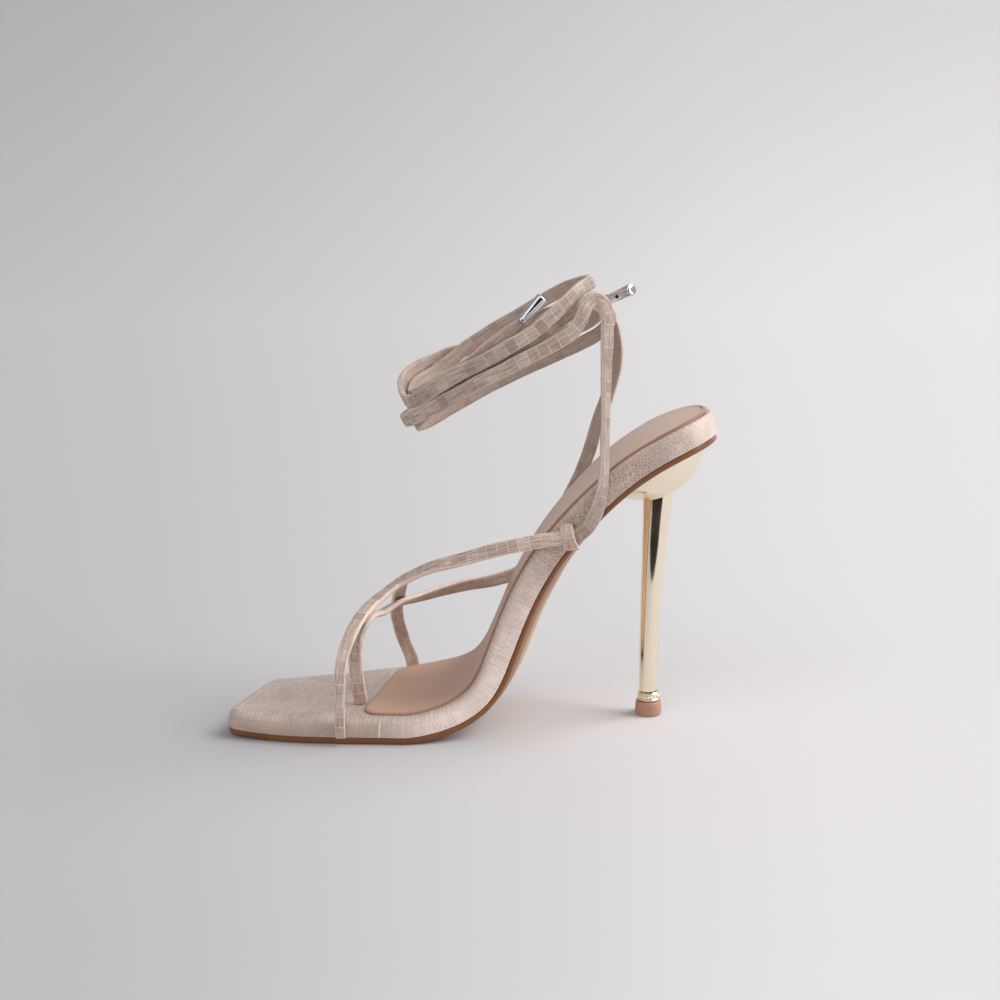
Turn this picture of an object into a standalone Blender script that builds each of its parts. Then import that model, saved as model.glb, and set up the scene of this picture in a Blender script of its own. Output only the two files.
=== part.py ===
"""Tie-up sandal, right shoe: bent sole, turned heel, crossed vamp straps and wound ankle ties."""
import math

import bmesh
import bpy
import numpy as np
from mathutils import Matrix, Vector

# Frame: +X runs to the heel, -Y is the medial side, +Z is up, the floor is Z = 0
# The tables hold millimetres with X counted from the ball of the foot
# The finished meshes are metres with X counted from the middle of the flat tread
MM = 0.001
TREAD_X = -16.0

# Driving sizes, in mm
GAP = 0.35
OUTSOLE_T = 3.2
OUTSOLE_INSET = 0.8
EDGE_ROUND = 3.4
HEEL_EDGE_ROUND = 1.5
EDGE_ROUND_SHARE = 0.15
TOE_CORNER_R = 6.0
CORNER_CLEARANCE = 1.15
HEEL_TRIM_START = 90.0
HEEL_TRIM_END = 150.0
HEEL_CURVE_START = 162.0
HEEL_CURVE_LENGTH = 23.8
HEEL_CURVE_POWER = 2.3
HEEL_CURVE_END = 0.992
SOCK_INSET = 4.6
SOCK_HEEL_INSET = 2.3
SOCK_T = 0.8
SOCK_FRONT_ROW = 3.55
SOCK_CORNER_R = 8.0
STRAP_W = 5.6
STRAP_T = 2.6
STRAP_POWER = 0.55
KEEPER_W = 6.4
KEEPER_T = 1.4
HEEL_TIP_X = 105.0
AGLET_BASE_R = 1.9
AGLET_TIP_R = 2.4
AGLET_LENGTH = 12.2
AGLET_BEVEL = 0.4

# Smoothness of the meshes
PROFILE_STEP = 0.25
ROW_STEPS = 3
TOE_STEPS = 4
HEEL_STEPS = 7
TOP_POINTS = 7
BOTTOM_POINTS = 6
ROUND_POINTS = 3
STRAP_RING = 10
TIE_RING = 8
VAMP_STEPS = 3
TIE_STEPS = 2
KEEPER_STEPS = 2
STEM_STEPS = 2
BEVEL_STEPS = 2
TURN_STEPS = 24
MERGE_DISTANCE = 0.00001
DOME_SEGMENTS = 30
DOME_RINGS = 16

# Side view of the sole: distance from the ball along the sole, slope in degrees
SOLE_SLOPE = (
    (-68.0, -6.0), (-50.0, -1.5), (-36.0, 0.0), (4.0, 0.0), (12.0, 8.0), (20.0, 13.5), (26.0, 19.0),
    (36.0, 35.0), (46.0, 58.0), (56.0, 69.0), (72.0, 69.0), (84.0, 65.0), (96.0, 59.5), (108.0, 53.0),
    (120.0, 48.5), (136.0, 43.5), (148.0, 37.0), (160.0, 30.0), (170.0, 25.5), (180.0, 20.5), (190.0, 15.5),
)

# Flattened footbed: medial distance and half width, lateral distance and half width, both wall heights
OUTLINE = (
    (-67.0, -28.3, -55.0, 13.5, 7.2, 7.2),
    (-56.0, -31.8, -44.0, 17.2, 7.4, 7.4),
    (-40.0, -35.3, -27.0, 22.0, 7.5, 7.5),
    (-22.0, -37.0, -8.0, 28.6, 7.5, 7.5),
    (-5.0, -37.6, 9.0, 34.4, 7.5, 7.5),
    (8.0, -38.0, 20.0, 35.8, 7.6, 7.4),
    (20.0, -36.0, 29.0, 34.0, 8.0, 7.4),
    (34.0, -32.3, 40.0, 30.3, 8.8, 7.3),
    (50.0, -28.8, 54.0, 27.0, 9.5, 6.6),
    (70.0, -26.3, 72.0, 25.0, 9.8, 6.2),
    (95.0, -25.0, 95.0, 24.3, 9.8, 6.4),
    (120.0, -24.8, 120.0, 24.3, 9.6, 7.2),
    (145.0, -24.6, 145.0, 24.3, 9.4, 8.4),
    (162.0, -24.0, 162.0, 23.8, 9.2, 9.0),
)

# Outsole: distance from the ball, thickness at the edge, thickness at the middle, dish of the footbed top
OUTSOLE = (
    (-68.0, 2.8, 2.8, 0.0), (-40.0, 3.2, 3.2, 0.0), (6.0, 3.2, 3.2, 0.0), (20.0, 3.0, 3.6, 0.2),
    (45.0, 2.3, 6.4, 0.6), (60.0, 2.2, 7.6, 0.8), (95.0, 2.2, 7.4, 0.8), (115.0, 2.2, 6.2, 0.8),
    (140.0, 2.4, 4.2, 1.0), (155.0, 2.6, 3.0, 1.1), (190.0, 2.6, 3.0, 0.8),
)

# Heel stem: height, centre line X, radius
STEM = (
    (10.3, 104.5, 3.6), (30.0, 104.7, 3.9), (50.0, 105.2, 4.3), (70.0, 106.0, 4.9), (84.0, 106.7, 5.5),
    (91.0, 107.1, 6.0), (98.0, 107.4, 6.4),
)

# Cup under the heel seat: distance along the sole, half length, half width, depth
CUP_S = 158.5
CUP_HALF_LENGTH = 21.5
CUP_HALF_WIDTH = 19.0
CUP_DEPTH = 16.5
CUTTER_FROM_S = 112.0
CUTTER_TO_S = 189.0
CUTTER_STEPS = 14
CUTTER_HALF_WIDTH = 34.0
CUTTER_HEIGHT = 40.0

# Turned ring and top piece: radius, height
RING = ((0.0, 6.35), (4.5, 6.35), (4.8, 6.8), (4.75, 8.3), (4.35, 9.4), (3.9, 9.95), (0.0, 9.95))
TOP_PIECE = ((0.0, 0.0), (5.0, 0.0), (5.4, 0.5), (5.4, 3.2), (5.1, 5.6), (4.8, 6.0), (0.0, 6.0))

# Width along a vamp strap: row of its table, share of the full width
MAIN_WIDTHS = ((0, 0.68), (2, 0.74), (3, 0.82), (5, 1.0))
FULL_WIDTH = ((0, 1.0),)

# Vamp straps: x, y, z of the middle line, then the outward direction
STRAP_MAIN = (
    (-19.0, -38.85, 3.7, 0.0, -1.0, 0.0),
    (-19.2, -38.9, 11.0, 0.0, -1.0, 0.0),
    (-19.1, -39.4, 20.0, 0.0, -1.0, 0.05),
    (-18.0, -36.8, 34.8, -0.15, -0.95, 0.30),
    (-14.5, -30.6, 44.3, -0.30, -0.75, 0.60),
    (-9.8, -21.0, 50.3, -0.35, -0.50, 0.80),
    (-3.4, -11.0, 54.2, -0.40, -0.40, 0.83),
    (2.6, -3.6, 57.2, -0.45, -0.35, 0.82),
    (13.1, -8.5, 63.7, -0.40, -0.50, 0.75),
    (27.4, -17.0, 69.8, -0.30, -0.70, 0.60),
    (43.3, -24.5, 76.0, -0.15, -0.90, 0.35),
    (58.8, -28.0, 80.0, 0.0, -1.0, 0.08),
    (69.6, -28.1, 81.7, 0.0, -1.0, 0.0),
)
STRAP_LATERAL = (
    (5.0, 35.35, 3.7, -0.33, 0.94, 0.0),
    (4.9, 35.45, 11.0, -0.33, 0.94, 0.0),
    (1.4, 35.0, 21.0, -0.30, 0.93, 0.20),
    (-0.8, 25.0, 35.3, -0.35, 0.70, 0.60),
    (0.9, 9.0, 47.0, -0.40, 0.45, 0.80),
    (3.2, -0.8, 55.2, -0.48, 0.05, 0.87),
    (4.4, -3.6, 57.6, -0.48, -0.20, 0.85),
)
STRAP_TOE = (
    (-12.7, -19.4, 11.3, 0.0, -1.0, 0.0),
    (-13.6, -19.6, 18.0, 0.0, -1.0, 0.0),
    (-14.4, -20.2, 27.0, -0.10, -1.0, 0.0),
    (-14.3, -21.3, 35.0, -0.25, -0.92, 0.15),
    (-12.8, -23.4, 41.4, -0.40, -0.75, 0.50),
    (-9.8, -24.6, 47.3, -0.36, -0.56, 0.74),
    (-4.6, -12.6, 46.7, -0.35, -0.05, 0.93),
    (1.8, 5.6, 46.1, -0.35, 0.40, 0.85),
    (9.7, 14.0, 46.2, -0.30, 0.65, 0.70),
    (26.3, 23.0, 48.6, -0.20, 0.90, 0.40),
    (42.0, 27.0, 50.6, -0.05, 1.0, 0.10),
    (51.0, 28.1, 53.4, 0.0, 1.0, 0.0),
    (57.4, 28.2, 60.4, 0.0, 1.0, 0.0),
    (62.0, 28.2, 67.2, 0.0, 1.0, 0.0),
)

# Keepers on the arch walls: x, y, z of the strap inside, its direction, outward direction, half height
KEEPERS = (
    ("keeper_medial", (69.8, -28.1, 81.7), (1.0, 0.0, 0.08), (0.0, -1.0, 0.0), 4.9),
    ("keeper_lateral", (62.2, 28.2, 67.4), (0.56, 0.0, 0.83), (0.0, 1.0, 0.0), 4.2),
)

# Section line of a keeper: outward, upward as a share of its half height, then the outward direction
KEEPER_SHAPE = (
    (-2.55, -1.0, 0.0, -1.0), (0.2, -1.0, 0.0, -1.0), (1.75, -0.88, 0.7, -0.7), (2.35, -0.55, 1.0, 0.0),
    (2.35, 0.0, 1.0, 0.0), (2.35, 0.55, 1.0, 0.0), (1.75, 0.88, 0.7, 0.7), (0.2, 1.0, 0.0, 1.0),
    (-2.55, 1.0, 0.0, 1.0),
)

# Ankle coil: an oval ring of strap, tilted with its rear end up
COIL_CENTRE = (45.0, 0.0, 150.0)
COIL_TILT = 27.0
COIL_HALF_LENGTH = 45.0
COIL_HALF_WIDTH = 29.0

# Rising part of each tie: x, y, z of the middle line, then the outward direction
RISER_MEDIAL = (
    (69.95, -28.1, 81.75, 0.0, -1.0, 0.0),
    (73.0, -28.3, 82.2, 0.0, -1.0, 0.0),
    (76.6, -28.7, 84.8, 0.05, -1.0, 0.0),
    (79.6, -28.9, 89.6, 0.25, -0.97, 0.0),
    (82.4, -28.5, 99.0, 0.72, -0.70, 0.0),
    (83.6, -25.6, 120.0, 0.92, -0.40, 0.0),
    (84.0, -21.6, 145.0, 0.80, -0.60, 0.0),
    (84.3, -19.6, 160.0, 0.62, -0.78, 0.0),
    (84.1, -18.9, 167.0, 0.60, -0.80, 0.0),
    (82.2, -18.9, 171.8, 0.58, -0.81, 0.0),
    (79.2, -20.0, 172.9, 0.52, -0.84, 0.0),
    (76.3, -21.6, 170.2, 0.45, -0.88, -0.05),
    (74.2, -22.7, 165.6, 0.42, -0.90, -0.05),
    (71.2, -23.9, 161.0, 0.38, -0.92, 0.0),
)
RISER_LATERAL = (
    (62.35, 28.2, 67.65, 0.0, 1.0, 0.0),
    (66.6, 28.3, 74.8, 0.0, 1.0, 0.0),
    (71.8, 28.4, 84.6, 0.05, 1.0, 0.0),
    (76.6, 28.4, 94.6, 0.10, 1.0, 0.0),
    (80.6, 28.2, 105.0, 0.20, 0.97, 0.0),
    (84.2, 27.6, 118.0, 0.35, 0.93, 0.0),
    (88.8, 26.2, 132.0, 0.45, 0.90, 0.0),
    (91.4, 24.4, 144.0, 0.55, 0.84, 0.0),
    (91.0, 23.0, 154.0, 0.58, 0.82, 0.0),
    (88.0, 22.6, 162.2, 0.55, 0.84, 0.0),
    (82.6, 23.2, 167.2, 0.48, 0.88, 0.0),
    (74.6, 24.6, 167.4, 0.40, 0.92, 0.0),
)

# Turns of each tie round the coil: angle in degrees, radial offset, height across the coil
# Angle 0 is the rear end, 90 the medial side, 180 the front end, 270 the lateral side
TURNS_MEDIAL = (
    (60.0, 0.4, -2.9), (67.0, 0.0, -3.1), (80.0, 0.0, -2.9), (93.0, 0.0, -2.9), (105.0, 0.0, -2.9),
    (122.0, 0.0, -3.6), (140.0, 0.2, -4.6), (158.0, 1.2, -5.4), (180.0, 2.4, -5.6), (200.0, 1.2, -5.6),
    (225.0, 0.0, -5.4), (250.0, 0.0, -5.2), (270.0, 0.0, -5.4), (290.0, 0.0, -6.2), (305.0, -0.6, -6.2),
    (318.0, -2.0, -5.8), (330.0, -3.3, -5.0), (345.0, -3.8, -3.2), (360.0, -3.8, -0.6), (376.0, -3.7, 2.4),
    (394.0, -3.4, 4.2), (408.0, -3.4, 3.8), (420.0, -3.4, 3.0), (431.0, -3.4, 2.2), (440.0, -3.4, 1.4),
    (452.0, -3.4, 0.6), (461.0, -3.4, -0.6), (472.0, -3.4, -2.2), (490.0, -3.4, -3.6), (508.0, -2.9, -5.4),
    (525.0, -1.7, -7.6), (540.0, -1.0, -9.6), (555.0, -1.9, -11.0), (585.0, -3.2, -11.6),
    (610.0, -3.4, -11.6), (635.0, -3.4, -12.0), (652.0, -3.2, -12.4), (666.0, -2.2, -12.6),
    (676.0, -0.8, -12.4), (686.0, 0.0, -11.8), (696.0, 0.2, -10.0), (705.0, 0.2, -7.4), (714.0, 0.2, -4.4),
)
TURNS_LATERAL = (
    (-58.0, 1.0, 3.6), (-75.0, 0.3, 4.6), (-88.0, 0.0, 5.0), (-102.0, 0.0, 4.8), (-109.0, 0.0, 5.9),
    (-116.0, 0.0, 7.4), (-126.0, 0.0, 8.2), (-144.0, 0.0, 9.2), (-160.0, -0.6, 7.5), (-174.0, -1.6, 4.6),
    (-188.0, -1.6, 1.8), (-203.0, -0.6, 0.8), (-222.0, 0.0, 1.8), (-233.0, 0.0, 2.9), (-249.0, 0.0, 3.5),
    (-262.0, 0.0, 3.5), (-275.0, 0.0, 4.1), (-289.0, 0.0, 4.7), (-300.0, 0.0, 6.5), (-312.0, 0.0, 8.3),
    (-327.0, 0.0, 10.1), (-345.0, -1.2, 10.0), (-360.0, -2.2, 9.9), (-376.0, -3.0, 10.2),
    (-397.0, -3.4, 10.7), (-417.0, -3.4, 10.1), (-432.0, -3.4, 9.1), (-445.0, -3.4, 8.7),
    (-460.0, -3.4, 7.7), (-470.0, -3.4, 7.0), (-480.0, -3.4, 5.4), (-493.0, -3.4, 4.3), (-512.0, -3.8, 4.2),
    (-527.0, -4.7, 2.8), (-540.0, -5.0, 1.8), (-555.0, -4.8, 1.6), (-570.0, -4.0, 2.0), (-590.0, -3.4, 3.0),
    (-608.0, -3.4, 4.2), (-619.0, -3.4, 5.6), (-628.0, -3.4, 7.2), (-634.0, -3.5, 7.9),
)

# Free end of each tie: x, y, z of the middle line, then the outward direction
END_MEDIAL = (
    (85.2, 1.4, 169.0, 0.95, 0.0, 0.0),
    (84.6, -1.8, 170.1, 0.92, 0.30, 0.0),
    (84.9, -4.2, 171.0, 0.80, 0.60, 0.0),
    (86.2, -5.8, 171.8, 0.72, 0.70, 0.0),
)
END_LATERAL = (
    (47.7, -24.9, 161.0, 0.0, -1.0, 0.0),
    (51.3, -25.1, 164.3, 0.0, -1.0, 0.0),
)
AGLET_DIRECTION_MEDIAL = (8.0, -8.8, 4.4)
AGLET_DIRECTION_LATERAL = (7.8, -0.2, 9.0)
END_TAPER = 0.62

# Base colour, metallic and roughness of each material
COLOURS = {
    "footbed_cover": ((0.66, 0.54, 0.48, 1.0), 0.0, 0.45),
    "sock_leather": ((0.48, 0.27, 0.17, 1.0), 0.0, 0.55),
    "outsole_rubber": ((0.27, 0.14, 0.07, 1.0), 0.0, 0.5),
    "strap_leather": ((0.64, 0.51, 0.45, 1.0), 0.0, 0.45),
    "gold_plate": ((0.86, 0.76, 0.55, 1.0), 1.0, 0.12),
    "top_piece_rubber": ((0.45, 0.25, 0.17, 1.0), 0.0, 0.6),
    "chrome": ((0.72, 0.72, 0.74, 1.0), 1.0, 0.15),
}


def clear_scene():
    for old in list(bpy.data.objects):
        bpy.data.objects.remove(old, do_unlink=True)


def make_collection(name):
    collection = bpy.data.collections.new(name)
    bpy.context.scene.collection.children.link(collection)
    return collection


def make_material(name):
    colour, metallic, roughness = COLOURS[name]
    material = bpy.data.materials.new(name)
    material.use_nodes = True
    shader = material.node_tree.nodes["Principled BSDF"]
    shader.inputs["Base Color"].default_value = colour
    shader.inputs["Metallic"].default_value = metallic
    shader.inputs["Roughness"].default_value = roughness
    return material


def finish_object(name, mesh_builder, collection, material):
    bmesh.ops.recalc_face_normals(mesh_builder, faces=mesh_builder.faces[:])
    bmesh.ops.translate(mesh_builder, verts=mesh_builder.verts[:], vec=(-TREAD_X * MM, 0.0, 0.0))
    mesh = bpy.data.meshes.new(name)
    mesh_builder.to_mesh(mesh)
    mesh_builder.free()
    made = bpy.data.objects.new(name, mesh)
    collection.objects.link(made)
    mesh.materials.append(material)
    return made


def as_cutter(made):
    made.hide_render = True
    made.display_type = "WIRE"
    return made


def add_boolean(target, operand, operation):
    modifier = target.modifiers.new(operand.name, "BOOLEAN")
    modifier.operation = operation
    modifier.solver = "EXACT"
    modifier.object = operand


def loft(name, rings, collection, material):
    """Join closed rings of equal count into one capped body."""
    builder = bmesh.new()
    rows = [[builder.verts.new(point * MM) for point in ring] for ring in rings]
    count = len(rows[0])
    for row, following in zip(rows, rows[1:]):
        for index in range(count):
            after = (index + 1) % count
            builder.faces.new((row[index], row[after], following[after], following[index]))
    caps = [builder.faces.new(rows[0]), builder.faces.new(rows[-1])]
    bmesh.ops.triangulate(builder, faces=caps)
    return finish_object(name, builder, collection, material)


# The sole's side view is a chain of arcs: the slope changes evenly between rows of the table
slope_table = np.array(SOLE_SLOPE)
profile_s = np.arange(slope_table[0, 0], slope_table[-1, 0] + PROFILE_STEP, PROFILE_STEP)
profile_slope = np.radians(np.interp(profile_s, slope_table[:, 0], slope_table[:, 1]))
middle_slope = 0.5 * (profile_slope[1:] + profile_slope[:-1])
profile_x = np.concatenate(([0.0], np.cumsum(np.cos(middle_slope)))) * PROFILE_STEP
profile_z = np.concatenate(([0.0], np.cumsum(np.sin(middle_slope)))) * PROFILE_STEP
profile_x -= np.interp(0.0, profile_s, profile_x)
profile_z += OUTSOLE_T - np.interp(0.0, profile_s, profile_z)


def bend(s, y, h):
    """Place a point of the flattened sole: s along it, y across, h above the footbed's underside."""
    slope = float(np.interp(s, profile_s, profile_slope))
    x = float(np.interp(s, profile_s, profile_x)) - math.sin(slope) * h
    z = float(np.interp(s, profile_s, profile_z)) + math.cos(slope) * h
    return Vector((x, y, z))


def spline(table, steps):
    """Smooth curve through table rows, spaced by chord length of the first three columns."""
    rows = np.array(table, dtype=float)
    chord = np.linalg.norm(np.diff(rows[:, :3], axis=0), axis=1)
    rates = np.diff(rows, axis=0) / chord[:, None]
    tangents = np.empty_like(rows)
    tangents[0] = rates[0]
    tangents[-1] = rates[-1]
    weight = chord[:-1] + chord[1:]
    tangents[1:-1] = (rates[:-1] * chord[1:, None] + rates[1:] * chord[:-1, None]) / weight[:, None]
    points = []
    for index, length in enumerate(chord):
        for step in range(steps):
            t = step / steps
            a = rows[index] * (2 * t ** 3 - 3 * t ** 2 + 1) + rows[index + 1] * (3 * t ** 2 - 2 * t ** 3)
            b = tangents[index] * (t ** 3 - 2 * t ** 2 + t) + tangents[index + 1] * (t ** 3 - t ** 2)
            points.append(a + b * length)
    points.append(rows[-1])
    return np.array(points)


def quarter(distance, radius):
    """How far a rounded corner still stands in at a distance from its end."""
    left = max(radius - distance, 0.0)
    return radius - math.sqrt(radius ** 2 - left ** 2)


def heel_trim(s, waist, heel):
    """Size that changes evenly from the waist to the heel."""
    return float(np.interp(s, (HEEL_TRIM_START, HEEL_TRIM_END), (waist, heel)))


def sole_stations(front_row, inset, heel_inset, corner_r):
    """Cross lines of the sole: both ends, wall heights, and distance to the nearest end."""
    fine = spline(OUTLINE, ROW_STEPS)
    position = np.linspace(0.0, len(OUTLINE) - 1, len(fine))
    columns = range(fine.shape[1])
    front = np.array([np.interp(front_row, position, fine[:, column]) for column in columns])
    following = fine[position > front_row + 1.0 / ROW_STEPS]
    length = following[0, 0] - front[0]
    closing = [corner_r * (1 - math.cos(math.pi * k / (2 * TOE_STEPS))) for k in range(TOE_STEPS + 1)]
    stations = []
    for distance in closing:
        row = front + (following[0] - front) * (distance / length)
        stations.append((row, distance, quarter(distance, corner_r) + inset))
    for row in following:
        if row[0] > front[0] + corner_r * CORNER_CLEARANCE:
            stations.append((row, corner_r, heel_trim(row[0], inset, heel_inset)))
    last = fine[-1]
    reach = HEEL_CURVE_LENGTH - heel_inset
    for k in range(1, HEEL_STEPS + 1):
        ratio = math.sin(math.pi * k / (2 * HEEL_STEPS)) * HEEL_CURVE_END
        row = last.copy()
        row[[0, 2]] = HEEL_CURVE_START + reach * ratio
        narrow = (1.0 - ratio ** HEEL_CURVE_POWER) ** (1.0 / HEEL_CURVE_POWER)
        row[[1, 3]] = (last[[1, 3]] - np.sign(last[[1, 3]]) * heel_inset) * narrow
        stations.append((row, reach * (1.0 - ratio), 0.0))
    return stations


def along(row, fraction):
    """Point on a cross line: fraction -1 is the medial end, +1 the lateral end."""
    t = 0.5 + 0.5 * fraction
    return row[0] + (row[2] - row[0]) * t, row[1] + (row[3] - row[1]) * t


def reach_of(row, inset):
    """Fraction of a cross line's half width left inside an inset."""
    return 1.0 - 2.0 * inset / (row[3] - row[1])


def top_height(row, fraction):
    """Height of the footbed's top on a cross line, dished towards the middle."""
    t = 0.5 + 0.5 * fraction
    s = row[0] + (row[2] - row[0]) * t
    dish = float(np.interp(s, table_s, table_dish))
    return row[4] + (row[5] - row[4]) * t - dish * (1.0 - fraction ** 2)


outsole_table = np.array(OUTSOLE)
table_s = outsole_table[:, 0]
table_edge = outsole_table[:, 1]
table_crown = outsole_table[:, 2]
table_dish = outsole_table[:, 3]


def underside(s, fraction):
    """Depth of the outsole's underside below the footbed."""
    edge = float(np.interp(s, table_s, table_edge))
    crown = float(np.interp(s, table_s, table_crown))
    return edge + (crown - edge) * (1.0 - fraction ** 2)


def spread(count):
    return [-1.0 + 2.0 * k / (count - 1) for k in range(count)]


def footbed_rings():
    rings = []
    turns = [math.pi * k / (2 * ROUND_POINTS) for k in range(ROUND_POINTS + 1)]
    for row, distance, inset in sole_stations(0.0, 0.0, 0.0, TOE_CORNER_R):
        outer = reach_of(row, inset)
        edge_round = heel_trim(row[0], EDGE_ROUND, HEEL_EDGE_ROUND)
        radius = min(edge_round, EDGE_ROUND_SHARE * outer * (row[3] - row[1]))
        drop = quarter(min(distance, edge_round), edge_round)
        rounding = [(outer - 1.0 + reach_of(row, radius * (1.0 - math.cos(a))), math.sin(a)) for a in turns]
        inner = rounding[-1][0]
        profile = [(outer * fraction, None) for fraction in spread(BOTTOM_POINTS)]
        profile += [(fraction, radius * (1.0 - rise)) for fraction, rise in rounding]
        profile += [(-inner * fraction, 0.0) for fraction in spread(TOP_POINTS)[1:-1]]
        profile += [(-fraction, radius * (1.0 - rise)) for fraction, rise in reversed(rounding)]
        ring = []
        for fraction, below in profile:
            s, y = along(row, fraction)
            height = 0.0 if below is None else top_height(row, fraction) - drop - below
            ring.append(bend(s, y, height))
        rings.append(ring)
    return rings


def outsole_rings():
    rings = []
    for row, _, inset in sole_stations(0.0, OUTSOLE_INSET, OUTSOLE_INSET, TOE_CORNER_R):
        outer = reach_of(row, inset)
        ring = []
        for fraction in spread(BOTTOM_POINTS):
            s, y = along(row, outer * fraction)
            ring.append(bend(s, y, -GAP))
        for fraction in reversed(spread(TOP_POINTS)):
            s, y = along(row, outer * fraction)
            ring.append(bend(s, y, -underside(s, fraction)))
        rings.append(ring)
    return rings


def sock_rings():
    rings = []
    for row, _, inset in sole_stations(SOCK_FRONT_ROW, SOCK_INSET, SOCK_HEEL_INSET, SOCK_CORNER_R):
        outer = reach_of(row, inset)
        lower = []
        upper = []
        for fraction in spread(TOP_POINTS):
            s, y = along(row, outer * fraction)
            height = top_height(row, outer * fraction) + GAP
            lower.append(bend(s, y, height))
            upper.append(bend(s, y, height + SOCK_T))
        rings.append(lower + upper[::-1])
    return rings


def oval(count, width, thickness):
    """Section of a rolled strap: a flattened oval with full edges."""
    section = []
    for k in range(count):
        angle = 2.0 * math.pi * (k + 0.5) / count
        across = math.copysign(abs(math.cos(angle)) ** STRAP_POWER, math.cos(angle))
        through = math.copysign(abs(math.sin(angle)) ** STRAP_POWER, math.sin(angle))
        section.append((0.5 * width * across, 0.5 * thickness * through))
    return section


def sweep_rings(points, section, tapers):
    """Carry a section along a curve whose rows hold place and outward direction."""
    places = points[:, :3]
    tangents = np.gradient(places, axis=0)
    rings = []
    for place, tangent, outward, taper in zip(places, tangents, points[:, 3:6], tapers):
        forward = Vector(tangent).normalized()
        side = forward.cross(Vector(outward)).normalized()
        normal = side.cross(forward).normalized()
        centre = Vector(place)
        rings.append([centre + side * (a * taper) + normal * b for a, b in section])
    return rings


def strap(name, table, widths, collection, material):
    """One vamp strap, its width set by row of its table."""
    points = spline(table, VAMP_STEPS)
    rows, shares = zip(*widths)
    tapers = np.interp(np.linspace(0, len(table) - 1, len(points)), rows, shares)
    section = oval(STRAP_RING, STRAP_W, STRAP_T)
    return loft(name, sweep_rings(points, section, tapers), collection, material)


def coil_row(angle, radial, height):
    """Place and outward direction on the tilted coil."""
    turn = math.radians(angle)
    tilt = math.radians(COIL_TILT)
    lengthwise = Vector((math.cos(tilt), 0.0, math.sin(tilt)))
    across = Vector((-math.sin(tilt), 0.0, math.cos(tilt)))
    sideways = Vector((0.0, -1.0, 0.0))
    cosine = math.cos(turn)
    sine = math.sin(turn)
    outward = (lengthwise * (cosine / COIL_HALF_LENGTH) + sideways * (sine / COIL_HALF_WIDTH)).normalized()
    oval_point = lengthwise * (COIL_HALF_LENGTH * cosine) + sideways * (COIL_HALF_WIDTH * sine)
    place = Vector(COIL_CENTRE) + oval_point + outward * radial + across * height
    return (*place, *outward)


def tie(name, riser, turns, end, collection, material):
    """One tie: up from its keeper, round the coil and out to its free end."""
    table = riser + tuple(coil_row(*turn) for turn in turns) + end
    points = spline(table, TIE_STEPS)
    tapers = np.ones(len(points))
    tapers[-TIE_STEPS - 1:] = np.linspace(1.0, END_TAPER, TIE_STEPS + 1)
    section = oval(TIE_RING, STRAP_W, STRAP_T)
    return loft(name, sweep_rings(points, section, tapers), collection, material)


def aglet(name, end, direction, collection, material):
    """Metal tube on a tie's free end, lying along its last run."""
    axis = Vector(direction).normalized()
    centre = Vector(end[-1][:3]) + axis * (GAP + 0.5 * AGLET_LENGTH)
    turn = axis.to_track_quat("Z", "Y").to_matrix().to_4x4()
    builder = bmesh.new()
    bmesh.ops.create_cone(
        builder, cap_ends=True, segments=TURN_STEPS, depth=AGLET_LENGTH * MM,
        radius1=AGLET_BASE_R * MM, radius2=AGLET_TIP_R * MM, matrix=Matrix.Translation(centre * MM) @ turn,
    )
    rims = [edge for edge in builder.edges if any(len(face.verts) > 4 for face in edge.link_faces)]
    bmesh.ops.bevel(
        builder, geom=rims, offset=AGLET_BEVEL * MM, segments=BEVEL_STEPS, affect="EDGES", profile=0.5,
    )
    return finish_object(name, builder, collection, material)


def keeper(name, centre, direction, outward, half_height, collection, material):
    """Leather loop on the arch wall that holds a tie against the sole."""
    run = Vector(direction).normalized()
    normal = Vector(outward)
    upward = run.cross(normal).normalized()
    if upward.z < 0.0:
        upward = -upward
    rows = []
    for out, up, face_out, face_up in KEEPER_SHAPE:
        place = Vector(centre) + normal * out + upward * (up * half_height)
        facing = normal * face_out + upward * face_up
        rows.append((*place, *facing))
    points = spline(rows, KEEPER_STEPS)
    section = oval(TIE_RING, KEEPER_W, KEEPER_T)
    return loft(name, sweep_rings(points, section, np.ones(len(points))), collection, material)


def turned(name, profile, centre_x, collection, material):
    """Body of revolution about an upright axis: a half profile with a Screw modifier."""
    builder = bmesh.new()
    verts = [builder.verts.new((radius * MM, 0.0, height * MM)) for radius, height in profile]
    for pair in zip(verts, verts[1:]):
        builder.edges.new(pair)
    mesh = bpy.data.meshes.new(name)
    builder.to_mesh(mesh)
    builder.free()
    mesh.materials.append(material)
    made = bpy.data.objects.new(name, mesh)
    made.location.x = (centre_x - TREAD_X) * MM
    collection.objects.link(made)
    screw = made.modifiers.new("turn", "SCREW")
    screw.axis = "Z"
    screw.steps = TURN_STEPS
    screw.render_steps = TURN_STEPS
    screw.use_merge_vertices = True
    screw.merge_threshold = MERGE_DISTANCE
    screw.use_normal_calculate = True
    return made


def stem_rings():
    rings = []
    for height, centre_x, radius in spline(STEM, STEM_STEPS):
        ring = []
        for k in range(TURN_STEPS):
            angle = 2.0 * math.pi * k / TURN_STEPS
            ring.append(Vector((centre_x + radius * math.cos(angle), radius * math.sin(angle), height)))
        rings.append(ring)
    return rings


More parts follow.
